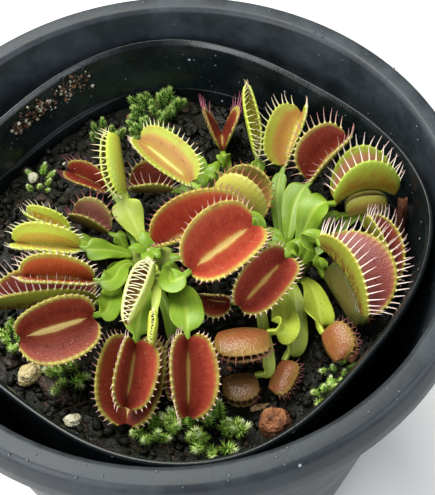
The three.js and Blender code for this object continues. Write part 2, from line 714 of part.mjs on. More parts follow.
// Stones and bark: place, size along each axis, turn about Z, and how far they sink into the peat
const stones = [
  { name: 'stone_rust', x: 22, y: -45.5, size: [8, 7, 6], turn: 20, sink: 1.5, color: 0x7a4a2a },
  { name: 'stone_tan', x: -35, y: -31, size: [6, 5, 4.5], turn: 50, sink: 1.2, color: 0xb9a878 },
  { name: 'stone_white', x: -24, y: -43, size: [5, 4, 3.4], turn: 10, sink: 0.8, color: 0xdad6b8 },
  { name: 'stone_cream_right', x: 53, y: 12, size: [4, 3.4, 5], turn: 0, sink: 0.8, color: 0xdad6b8 },
  { name: 'stone_white_back', x: -39, y: 29, size: [3, 3, 3], turn: 0, sink: 0.6, color: 0xdad6b8 },
  { name: 'bark_chip', x: -28.5, y: -35.5, size: [11, 4.4, 2.4], turn: -40, sink: 0.3, color: 0x4a3426 },
  { name: 'stone_brown_right', x: 41, y: -28, size: [4, 4, 3], turn: 30, sink: 0.8, color: 0x5a4030 },
];

function stoneGeometry(stone, grow) {
  const geometry = closed(new THREE.IcosahedronGeometry(1, 1));
  const position = geometry.attributes.position;
  for (let i = 0; i < position.count; i += 1) {
    const [x, y, z] = [position.getX(i), position.getY(i), position.getZ(i)];
    const bump = 1 + 0.1 * Math.sin(5 * x + stone.x) + 0.08 * Math.cos(6 * y + stone.y + 3 * z);
    position.setXYZ(i, x * bump, y * bump, z * bump);
  }
  const [width, depth, height] = stone.size;
  geometry.scale(width / 2 + grow, depth / 2 + grow, height / 2 + grow);
  geometry.rotateZ(degrees(stone.turn));
  geometry.translate(stone.x, stone.y, peatHeight(stone.x, stone.y) + height / 2 - stone.sink);
  return geometry;
}

const plant = new THREE.Group();
plant.add(piece('outer_pot', outerPot(), potPlastic));
plant.add(piece('nursery_pot', nurseryPot(), trayPlastic));
plant.add(piece('peat', peat(), peatFinish));
Object.entries(crowns).forEach(([name, crown]) => {
  plant.add(piece(`crown_${name}`, crownGeometry(crown), crownFinish));
});
leaves.forEach((leaf) => {
  const finish = { color: leafColours[leaf.colour], roughness: 0.5, metalness: 0 };
  plant.add(piece(leaf.name, leafGeometry(leaf), finish));
});
mosses.forEach((moss) => {
  plant.add(piece(moss.name, mossGeometry(moss), mossFinish));
});
stones.forEach((stone) => {
  const finish = { color: stone.color, roughness: 0.85, metalness: 0 };
  plant.add(piece(stone.name, stoneGeometry(stone, 0), finish));
});

export default plant;
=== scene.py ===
# %% [markdown]
# # A potted venus flytrap
# The plant stands in a squarish nursery pot, which sits inside a thicker round pot. Everything is
# modelled in millimetres, because that is how one thinks about a leaf, and is made metres at the end.
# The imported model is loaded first: it is the fixed frame that every piece is fitted to.

# %% The fixed frame
import math
import random

import bmesh
import bpy
from mathutils import Matrix, Vector, noise


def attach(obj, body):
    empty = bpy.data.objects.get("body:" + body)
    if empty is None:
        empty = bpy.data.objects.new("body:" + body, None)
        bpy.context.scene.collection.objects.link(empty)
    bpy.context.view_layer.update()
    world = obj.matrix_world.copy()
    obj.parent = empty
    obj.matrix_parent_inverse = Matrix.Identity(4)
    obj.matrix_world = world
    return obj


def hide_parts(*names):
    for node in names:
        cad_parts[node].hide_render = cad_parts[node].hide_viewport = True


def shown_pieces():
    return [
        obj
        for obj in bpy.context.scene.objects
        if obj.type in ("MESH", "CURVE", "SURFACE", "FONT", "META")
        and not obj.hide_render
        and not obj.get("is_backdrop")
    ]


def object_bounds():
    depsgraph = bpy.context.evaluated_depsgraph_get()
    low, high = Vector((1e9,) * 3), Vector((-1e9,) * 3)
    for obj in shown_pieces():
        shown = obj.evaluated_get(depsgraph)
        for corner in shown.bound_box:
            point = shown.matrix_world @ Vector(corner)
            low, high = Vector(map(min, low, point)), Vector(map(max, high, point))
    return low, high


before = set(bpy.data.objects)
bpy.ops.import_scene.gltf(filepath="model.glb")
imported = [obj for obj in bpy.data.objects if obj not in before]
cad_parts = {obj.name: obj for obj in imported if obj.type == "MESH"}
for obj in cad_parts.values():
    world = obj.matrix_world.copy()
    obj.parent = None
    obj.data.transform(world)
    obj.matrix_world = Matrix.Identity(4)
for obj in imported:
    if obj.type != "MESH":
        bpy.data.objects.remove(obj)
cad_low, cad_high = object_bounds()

MM = 0.001
print(f"frame: {len(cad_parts)} nodes, {(cad_high - cad_low).z / MM:.1f} mm tall")

# %% [markdown]
# ## The camera
# The photograph looks down into the pot at about 56 degrees. A long lens keeps the far rim nearly as
# wide as the near one. The camera's place and its three directions are worked out from the ellipse of
# the round rim. Together the directions are its rotation: right, up and backward.

# %% The camera
PHOTO_HEIGHT = 495
LENS_PIXELS = 1000
SENSOR = 36
camera_place = Vector((10.145, -140.056, 307.07)) * MM
camera_right = Vector((0.9995998, -0.02335, -0.0159702))
camera_up = Vector((0.028289, 0.825078, 0.5643103))
camera_back = camera_right.cross(camera_up)

camera = bpy.data.objects.new("camera", bpy.data.cameras.new("camera"))
camera.data.sensor_width = SENSOR
camera.data.lens = LENS_PIXELS * SENSOR / PHOTO_HEIGHT
camera.data.clip_start = 0.01
camera.matrix_world = Matrix.Translation(camera_place) @ Matrix(
    (camera_right, camera_up, camera_back)).transposed().to_4x4()
bpy.context.scene.collection.objects.link(camera)
bpy.context.scene.camera = camera
print(f"camera: {camera.data.lens:.1f} mm lens")

# %% [markdown]
# ## Colours and nodes
# A colour is picked as it looks on a screen, in sRGB, and a shader works with light, so one function
# turns the first into the second. A material is a tree of nodes, and one small function adds a node with
# its settings and its links. Patterns read a place on the object in metres, so each one's scale is one
# divided by a real size, such as that of a grain.

# %% Colours and nodes
def linear(hex_colour, alpha=1.0):
    """An sRGB colour such as "#8CC63F" as the linear values that a shader works with."""
    parts = [int(hex_colour[i:i + 2], 16) / 255 for i in (1, 3, 5)]
    return (*[c / 12.92 if c <= 0.04045 else ((c + 0.055) / 1.055) ** 2.4 for c in parts], alpha)


def node(tree, kind, inputs=(), stops=(), **settings):
    """Adds a shader node. An input that is another node's output is linked, and any other is set."""
    made = tree.nodes.new("ShaderNode" + kind)
    for key, value in settings.items():
        setattr(made, key, value)
    for key, value in dict(inputs).items():
        if isinstance(value, bpy.types.NodeSocket):
            tree.links.new(value, made.inputs[key])
        else:
            made.inputs[key].default_value = value
    # A colour ramp has two stops from the start, so the first two given set those, and the rest are added
    for i, (place, colour) in enumerate(stops):
        ramp = made.color_ramp.elements
        stop = ramp[i] if i < 2 else ramp.new(place)
        stop.position = place
        stop.color = linear(colour) if isinstance(colour, str) else (colour, colour, colour, 1)
    return made


def new_material(name):
    """A named material and its empty tree."""
    material = bpy.data.materials.new(name)
    material.use_nodes = True
    material.node_tree.nodes.clear()
    return material, material.node_tree


def place_on_object(tree):
    """The place on the object, in metres, which every pattern reads."""
    return node(tree, "TexCoord").outputs["Object"]


def mesh_of(shape, name):
    """Turns a bmesh into a mesh, for an object or to be stamped many times."""
    data = bpy.data.meshes.new(name)
    shape.to_mesh(data)
    shape.free()
    return data


print("one grey:", [round(c, 3) for c in linear("#808080")])

# %% [markdown]
# ## The floor and the light
# The photograph is lit by a pale sky. A large area lamp above and a little behind gives the soft shine
# on the rims, two weaker ones at the front open the shadows, and a grey-white world fills the rest.
# The floor is matte paint, which shows the pot's soft shadow and no reflection.

# %% Floor, world and lamps
FLOOR_SIZE = 3.0
floor_shape = bmesh.new()
bmesh.ops.create_grid(floor_shape, x_segments=4, y_segments=4, size=FLOOR_SIZE / 2)
floor = bpy.data.objects.new("floor", mesh_of(floor_shape, "floor"))
bpy.context.scene.collection.objects.link(floor)
floor_paint, tree = new_material("floor_matte_paint")
paint = node(tree, "BsdfPrincipled", {"Base Color": linear("#E4E4E2"), "Roughness": 0.7})
node(tree, "OutputMaterial", {"Surface": paint.outputs[0]})
floor.data.materials.append(floor_paint)
floor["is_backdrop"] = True

world = bpy.data.worlds.new("pale_sky")
world.use_nodes = True
world.node_tree.nodes["Background"].inputs["Color"].default_value = linear("#E9EEF2")
world.node_tree.nodes["Background"].inputs["Strength"].default_value = 0.33
bpy.context.scene.world = world


LAMP_AIM = Vector((0, 0, 100))


def soft_lamp(name, place, size, power, colour):
    """A square area lamp, placed in millimetres and aimed at the plant."""
    lamp = bpy.data.lights.new(name, "AREA")
    lamp.size = size * MM
    lamp.energy = power
    lamp.color = linear(colour)[:3]
    holder = bpy.data.objects.new(name, lamp)
    turned = (Vector(place) - LAMP_AIM).to_track_quat("Z", "Y").to_matrix().to_4x4()
    holder.matrix_world = Matrix.Translation(Vector(place) * MM) @ turned
    bpy.context.scene.collection.objects.link(holder)


soft_lamp("window_above", (-180, 190, 560), 420, 5.6, "#FFFDF6")
soft_lamp("window_right", (420, -160, 330), 260, 1.2, "#F2F6FF")
soft_lamp("window_left", (-300, -330, 330), 300, 2.4, "#FAFBFF")
bpy.context.scene.view_settings.view_transform = "Standard"
print("floor, world and three lamps")

# %% [markdown]
# ## Helpers for pieces
# A piece starts in a bmesh, in millimetres. At the end its doubled points are merged, its faces are
# turned outwards, and it is scaled to metres at the origin, so that nothing is left on its object. Two
# more helpers save work: one stamps copies of a small mesh into a shape, and one turns a profile round.

# %% Finishing a piece
TOUCHING = 1e-4


def finish_piece(shape, name, materials, stands_for=()):
    """Makes an object of a bmesh in millimetres. It rides on the pot and takes the materials given."""
    bmesh.ops.remove_doubles(shape, verts=shape.verts, dist=TOUCHING)
    bmesh.ops.recalc_face_normals(shape, faces=shape.faces)
    bmesh.ops.scale(shape, vec=(MM, MM, MM), verts=shape.verts)
    data = mesh_of(shape, name)
    for material in materials:
        data.materials.append(material)
    data.shade_smooth()
    made = bpy.data.objects.new(name, data)
    bpy.context.scene.collection.objects.link(made)
    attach(made, "root")
    if stands_for:
        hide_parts(*stands_for)
    return made


def stamp(shape, template, move, material_index=None):
    """Adds a copy of a template mesh. move is a matrix, or a function of each point."""
    first_vertex, first_face = len(shape.verts), len(shape.faces)
    shape.from_mesh(template)
    shape.verts.ensure_lookup_table()
    shape.faces.ensure_lookup_table()
    added = shape.verts[first_vertex:]
    for vertex in added:
        vertex.co = move @ vertex.co if isinstance(move, Matrix) else move(vertex.co)
    if material_index is not None:
        for face in shape.faces[first_face:]:
            face.material_index = material_index
    return added


def spun(profile, steps, roundings=()):
    """Turns a profile of (radius, height) points about the Z axis. roundings are (from, to, offset):
    the corners from one point to another are bevelled before the spin."""
    shape = bmesh.new()
    line = [shape.verts.new((radius, 0, height)) for radius, height in profile]
    for a, b in zip(line, line[1:]):
        shape.edges.new((a, b))
    for first, last, offset in roundings:
        bmesh.ops.bevel(shape, geom=line[first:last + 1], offset=offset, offset_type="OFFSET", segments=3,
                        profile=0.5, affect="VERTICES", material=-1)
    bmesh.ops.spin(shape, geom=shape.verts[:] + shape.edges[:], cent=(0, 0, 0), axis=(0, 0, 1),
                   angle=2 * math.pi, steps=steps, use_merge=True)
    bmesh.ops.remove_doubles(shape, verts=shape.verts, dist=TOUCHING)
    return shape


print("helpers: finish_piece, stamp, spun")

# %% [markdown]
# ## The outer pot
# A thick pot, injection moulded in dark polypropylene. It could be cut from a cylinder, but a moulded
# pot is a turned shape, so half of its section is drawn and spun once round. The section runs from the
# middle of the base out over the foot, up the outside, over the rim and down the inside to the floor. Its
# corners are bevelled first: a moulded rim has no sharp edge, and those small curves catch the light.

# %% Outer pot: its shape
POT_HEIGHT = 122
POT_RIM_RADIUS = 70
POT_SKIRT_RADIUS = 71.5
POT_MOUTH_RADIUS = 64.5
POT_SKIRT_DEPTH = 9
POT_BASE_RADIUS = 52
POT_WALL = 2.8
POT_FLOOR = 3
FOOT_RECESS = 1.2
MOUTH_TAPER = 0.6

skirt_bottom = POT_HEIGHT - POT_SKIRT_DEPTH
wall_top = POT_MOUTH_RADIUS - MOUTH_TAPER + POT_WALL
pot_shape = spun([
    (0, FOOT_RECESS),
    (POT_BASE_RADIUS - 8, FOOT_RECESS),
    (POT_BASE_RADIUS - 7, 0),
    (POT_BASE_RADIUS - 2, 0),
    (POT_BASE_RADIUS, 2),
    (POT_BASE_RADIUS + 0.75 * (wall_top - POT_BASE_RADIUS), 0.75 * skirt_bottom),
    (wall_top, skirt_bottom),
    (POT_SKIRT_RADIUS, skirt_bottom + 0.8),
    (POT_SKIRT_RADIUS - 0.3, skirt_bottom + 4.4),
    (POT_RIM_RADIUS, POT_HEIGHT - 1),
    (POT_RIM_RADIUS - 1, POT_HEIGHT),
    (POT_MOUTH_RADIUS + 1, POT_HEIGHT - 0.2),
    (POT_MOUTH_RADIUS, POT_HEIGHT - 1.2),
    (POT_MOUTH_RADIUS - MOUTH_TAPER, skirt_bottom),
    (POT_BASE_RADIUS - POT_WALL, POT_FLOOR),
    (0, POT_FLOOR),
], 144, [(1, 4, 0.3), (6, 13, 0.4)])
print(f"outer pot: {len(pot_shape.faces)} faces")

# %% [markdown]
# Matte polypropylene looks soft and grey where it faces the light. Its mould leaves a faint grain of
# 0.9 mm, and handling leaves paler and duller scuffs 12 mm across. Pale specks of dried water lie here and
# there, 0.7 mm across so that they show. A Voronoi texture gives cells of 2 mm, each with a colour of its
# own by chance, and only the few cells whose colour is nearly white get a speck.

# %% Outer pot: its plastic
def moulded_plastic(name, colour, dull, roughness, speckled):
    """Dark moulded plastic with grain, scuffs and pale specks. The higher speckled is, the more specks."""
    material, tree = new_material(name)
    place = place_on_object(tree)
    scuffs = node(tree, "TexNoise", {"Vector": place, "Scale": 1 / 0.012, "Detail": 6, "Roughness": 0.7})
    scuffed = node(tree, "ValToRGB", {"Fac": scuffs.outputs["Fac"]}, [(0.42, colour), (0.75, dull)])
    cells = node(tree, "TexVoronoi", {"Vector": place, "Scale": 1 / 0.0021}, feature="F1")
    chosen = node(tree, "Math", {0: cells.outputs["Color"], 1: 1 - speckled}, operation="GREATER_THAN")
    near = node(tree, "Math", {0: cells.outputs["Distance"], 1: 0.17}, operation="LESS_THAN")
    speck = node(tree, "Math", {0: chosen.outputs[0], 1: near.outputs[0]}, operation="MULTIPLY")
    dusty = node(tree, "Mix", {0: speck.outputs[0], 6: scuffed.outputs["Color"], 7: linear("#98A0A4")},
                 data_type="RGBA")
    shine = node(tree, "MapRange", {"Value": scuffs.outputs["Fac"], "From Min": 0.3, "From Max": 0.7,
                                    "To Min": roughness - 0.08, "To Max": roughness + 0.14})
    grain = node(tree, "TexNoise", {"Vector": place, "Scale": 1 / 0.0009, "Detail": 3})
    bump = node(tree, "Bump", {"Height": grain.outputs["Fac"], "Strength": 0.12, "Distance": 0.0003})
    plastic = node(tree, "BsdfPrincipled", {
        "Base Color": dusty.outputs[2], "Roughness": shine.outputs["Result"], "IOR": 1.49,
        "Specular IOR Level": 0.36, "Normal": bump.outputs["Normal"]})
    node(tree, "OutputMaterial", {"Surface": plastic.outputs[0]})
    return material


pot_plastic = moulded_plastic("matte_polypropylene", "#22282D", "#394147", 0.44, 0.1)
outer_pot = finish_piece(pot_shape, "round_pot", [pot_plastic], ["outer_pot"])
print("outer pot:", len(outer_pot.data.polygons), "faces in", pot_plastic.name)

# %% [markdown]
# ## The nursery pot
# A thin vacuum-formed pot stands inside. Its plan is a square with very round corners, so it is spun
# round as the other one was, and each point is then pushed out to the square's reach in its direction.
# A lip, a ledge below it and a second moulded step give the pale lines that show on the black wall. The
# lower step is pressed deep only at the back left, around 128 degrees, and fades over 8 degrees beside it.

# %% Nursery pot: its shape
TRAY_TOP = POT_HEIGHT - 8
TRAY_BOTTOM = POT_FLOOR + 0.3
TRAY_HALF_WIDTH = 57
TRAY_BASE_HALF_WIDTH = 44
TRAY_WALL = 1.2
TRAY_LIP = 2
TRAY_SQUARENESS = 2.64
TRAY_TURN = math.radians(50)
TRAY_STEP_HEIGHT = 98
STEP_TURN = 128
STEP_HALF_SPAN = 14
STEP_FADE = 8
STEP_DEPTH = 0.9
WALL_WAVE = 0.35


def square_reach(x, y):
    """How far a rounded square of half width 1 reaches in the direction of a point."""
    angle = math.atan2(y, x) - TRAY_TURN
    across, along = abs(math.cos(angle)) ** TRAY_SQUARENESS, abs(math.sin(angle)) ** TRAY_SQUARENESS
    return (across + along) ** (-1 / TRAY_SQUARENESS)


def tray_inside(height):
    """Half width of the nursery pot's inner face at a height."""
    share = (height - TRAY_BOTTOM) / (TRAY_TOP - TRAY_BOTTOM)
    return TRAY_BASE_HALF_WIDTH + (TRAY_HALF_WIDTH - 0.8 - TRAY_BASE_HALF_WIDTH) * share - TRAY_WALL


def squared(shape):
    """Pushes a spun shape out to the rounded square."""
    for vertex in shape.verts:
        reach = square_reach(vertex.co.x, vertex.co.y)
        vertex.co.x *= reach
        vertex.co.y *= reach
    return shape


tray_shape = squared(spun([
    (0, TRAY_BOTTOM),
    (TRAY_BASE_HALF_WIDTH, TRAY_BOTTOM),
    (tray_inside(TRAY_TOP - 3) + TRAY_WALL, TRAY_TOP - 3),
    (TRAY_HALF_WIDTH, TRAY_TOP - 2.4),
    (TRAY_HALF_WIDTH, TRAY_TOP - 0.4),
    (TRAY_HALF_WIDTH - 0.4, TRAY_TOP),
    (TRAY_HALF_WIDTH - 0.9, TRAY_TOP),
    (TRAY_HALF_WIDTH - TRAY_LIP + 0.4, TRAY_TOP - 1.2),
    (tray_inside(TRAY_TOP - 4), TRAY_TOP - 4),
    (tray_inside(TRAY_STEP_HEIGHT + 1), TRAY_STEP_HEIGHT + 1),
    (tray_inside(TRAY_STEP_HEIGHT + 1) - STEP_DEPTH, TRAY_STEP_HEIGHT + 0.6),
    (tray_inside(TRAY_STEP_HEIGHT) - STEP_DEPTH, TRAY_STEP_HEIGHT - 0.4),
    (tray_inside(TRAY_STEP_HEIGHT - 3), TRAY_STEP_HEIGHT - 3),
    (tray_inside(TRAY_BOTTOM + TRAY_WALL), TRAY_BOTTOM + TRAY_WALL),
    (0, TRAY_BOTTOM + TRAY_WALL),
], 160, [(3, 11, 0.15)]))

# Thin plastic never stands quite true: its wall waves by a few tenths of a millimetre
for vertex in tray_shape.verts:
    outward = Vector((vertex.co.x, vertex.co.y, 0))
    if outward.length > 1:
        outward.normalize()
        wave = WALL_WAVE * noise.noise(vertex.co * 0.06)
        if abs(vertex.co.z - TRAY_STEP_HEIGHT) < 1:
            from_step = abs(math.degrees(math.atan2(outward.y, outward.x)) - STEP_TURN)
            wave += STEP_DEPTH * min(max((from_step - STEP_HALF_SPAN) / STEP_FADE, 0), 1)
        vertex.co += outward * wave
print(f"nursery pot: {len(tray_shape.faces)} faces")

# %% [markdown]
# Formed polystyrene is glossy and black, with sharp reflections of the lamps. Its outside, down in the gap
# between the pots, is painted a dull slate grey below the lip: painted light, so that the gap looks lit.

# %% Nursery pot: its two finishes
tray_plastic = moulded_plastic("glossy_black_polystyrene", "#0A1012", "#1A2224", 0.24, 0.12)
# painted light: the outside takes a slate grey well above the black of the plastic, standing in for light in
# the gap
outside_painted_light_plastic = moulded_plastic("black_polystyrene_painted_light", "#39424A", "#5C656C", 0.6, 0.2)
# faces on the outside, below the lip, take the painted-light grey
for face in tray_shape.faces:
    middle = face.calc_center_median()
    out_to = math.hypot(middle.x, middle.y) / square_reach(middle.x, middle.y)
    if middle.z < TRAY_TOP - 3 and out_to > tray_inside(middle.z) + TRAY_WALL * 0.6:
        face.material_index = 1
finish_piece(tray_shape, "squarish_pot", [tray_plastic, outside_painted_light_plastic], ["nursery_pot"])
print("nursery pot:", tray_plastic.name, "inside and on its lip,", outside_painted_light_plastic.name, "outside")

# %% [markdown]
# ## The peat
# Wet peat is nearly black and crumbly. A spun disc with many rings gives even faces all over, which are
# lifted by noise at three sizes: clods of 5.5 mm, crumbs of 1.9 mm and grit of 0.8 mm. The same function
# later seats all the litter.

# %% Peat: its ground
PEAT_LEVEL = POT_HEIGHT - 26
PEAT_BUMPS = 0.8
PEAT_FALL_TO_BACK = 0.03
CLOD_SIZE = 5.5
CLOD_HEIGHT = 1.7
CRUMB_SIZE = 1.9
CRUMB_HEIGHT = 1.1
GRIT_SIZE = 0.8
GRIT_HEIGHT = 0.35
PEAT_LOWERED = 0.7


def ground(x, y):
    """Height of the peat's smooth surface: it falls a little to the back."""
    slope = -PEAT_FALL_TO_BACK * max(y, 0)
    bumps = math.sin(x * 0.31 + 1) * math.cos(y * 0.27) + math.sin(x * 0.13 - y * 0.19 + 2)
    return PEAT_LEVEL + slope + PEAT_BUMPS * 0.5 * bumps


def crumbly_ground(x, y):
    """The same with clods, crumbs and grit, lowered so that their hollows dip below it."""
    clods = CLOD_HEIGHT * abs(noise.noise(Vector((x / CLOD_SIZE, y / CLOD_SIZE, 3))))
    crumbs = CRUMB_HEIGHT * abs(noise.noise(Vector((x / CRUMB_SIZE, y / CRUMB_SIZE, 9))))
    grit = GRIT_HEIGHT * noise.noise(Vector((x / GRIT_SIZE, y / GRIT_SIZE, 5)))
    return ground(x, y) + clods + crumbs + grit - PEAT_LOWERED


PEAT_RINGS = 84
PEAT_SPOKES = 240
PEAT_GAP = 0.3
peat_bottom = TRAY_BOTTOM + TRAY_WALL + PEAT_GAP
peat_edge = tray_inside(PEAT_LEVEL) - 0.4
section = [(0, peat_bottom), (tray_inside(peat_bottom) - PEAT_GAP, peat_bottom)]
section += [(peat_edge * (1 - ring / PEAT_RINGS), PEAT_LEVEL) for ring in range(PEAT_RINGS + 1)]
peat_shape = squared(spun(section, PEAT_SPOKES))
for vertex in peat_shape.verts:
    if vertex.co.z > PEAT_LEVEL - 1:
        vertex.co.z = crumbly_ground(vertex.co.x, vertex.co.y)
print(f"peat: {len(peat_shape.faces)} faces")

# %% [markdown]
# Sphagnum peat is dead moss: dark, dull and full of fibres. Its brown is mixed from two noises, at 4 mm
# for damp patches and at 0.6 mm for fibres, and the wet patches are also shinier, which gives the small
# glints that the photograph shows.

# %% Peat: its finish
def peat_like(name, dark, middle, pale, wet):
    """Damp organic crumbs: dark, with paler fibres and wet glints. wet: how rough the wettest parts are."""
    material, tree = new_material(name)
    place = place_on_object(tree)
    patches = node(tree, "TexNoise", {"Vector": place, "Scale": 1 / 0.004, "Detail": 5})
    fibres = node(tree, "TexNoise", {"Vector": place, "Scale": 1 / 0.0006, "Detail": 4, "Roughness": 0.65})
    both = node(tree, "Math", {0: patches.outputs["Fac"], 1: fibres.outputs["Fac"]}, operation="MULTIPLY")
    colour = node(tree, "ValToRGB", {"Fac": both.outputs[0]}, [(0.12, dark), (0.42, pale), (0.27, middle)])
    shine = node(tree, "MapRange", {"Value": patches.outputs["Fac"], "From Min": 0.4, "From Max": 0.62,
                                    "To Min": wet, "To Max": 0.85})
    bump = node(tree, "Bump", {"Height": fibres.outputs["Fac"], "Strength": 0.6, "Distance": 0.0005})
    crumb = node(tree, "BsdfPrincipled", {
        "Base Color": colour.outputs["Color"], "Roughness": shine.outputs["Result"],
        "Specular IOR Level": 0.24, "Normal": bump.outputs["Normal"]})
    node(tree, "OutputMaterial", {"Surface": crumb.outputs[0]})
    return material


wet_peat = peat_like("wet_sphagnum_peat", "#070805", "#13140D", "#2F2E1D", 0.14)
peat_bed = finish_piece(peat_shape, "peat_bed", [wet_peat], ["peat"])
print("peat:", len(peat_bed.data.polygons), "faces in", wet_peat.name)

# %% [markdown]
# ## The leaves
# Every leaf is a winged stalk, then a trap: two lobes that meet at a midrib, with teeth on their rims.
# The table holds each one's place and pose, in the terms a grower would use. Each value is given once,
# and the shape of every leaf is worked out from it, so that a leaf can be turned or opened by one number.
#
# at: where the stalk meets the hinge, with its height above the peat. heading and pitch: the way the
# hinge runs. roll: how far the mouth leans to the left of straight up. gape: the angle between the
# lobes. length and width: one lobe along and across the hinge. bend: how far a lobe curls in.
# tooth: the teeth's length. stalk: its greatest width. crown, tier and leaves: which crown it grows on,
# in which ring of old leaf bases, and the way it sets out from there. skin: its colours.
#
# Some leaves have more. swing: how widely the stalk comes round to the hinge. arch: how far the middle of
# the hinge stands above its ends. lean: how far the teeth tip in over the mouth. stubby: 1 where the left
# rim's teeth are short. fringe: a skin whose teeth it has instead of its own. blade: the stalk's colours,
# where they aren't plain green. All angles are in degrees, and all lengths in millimetres.

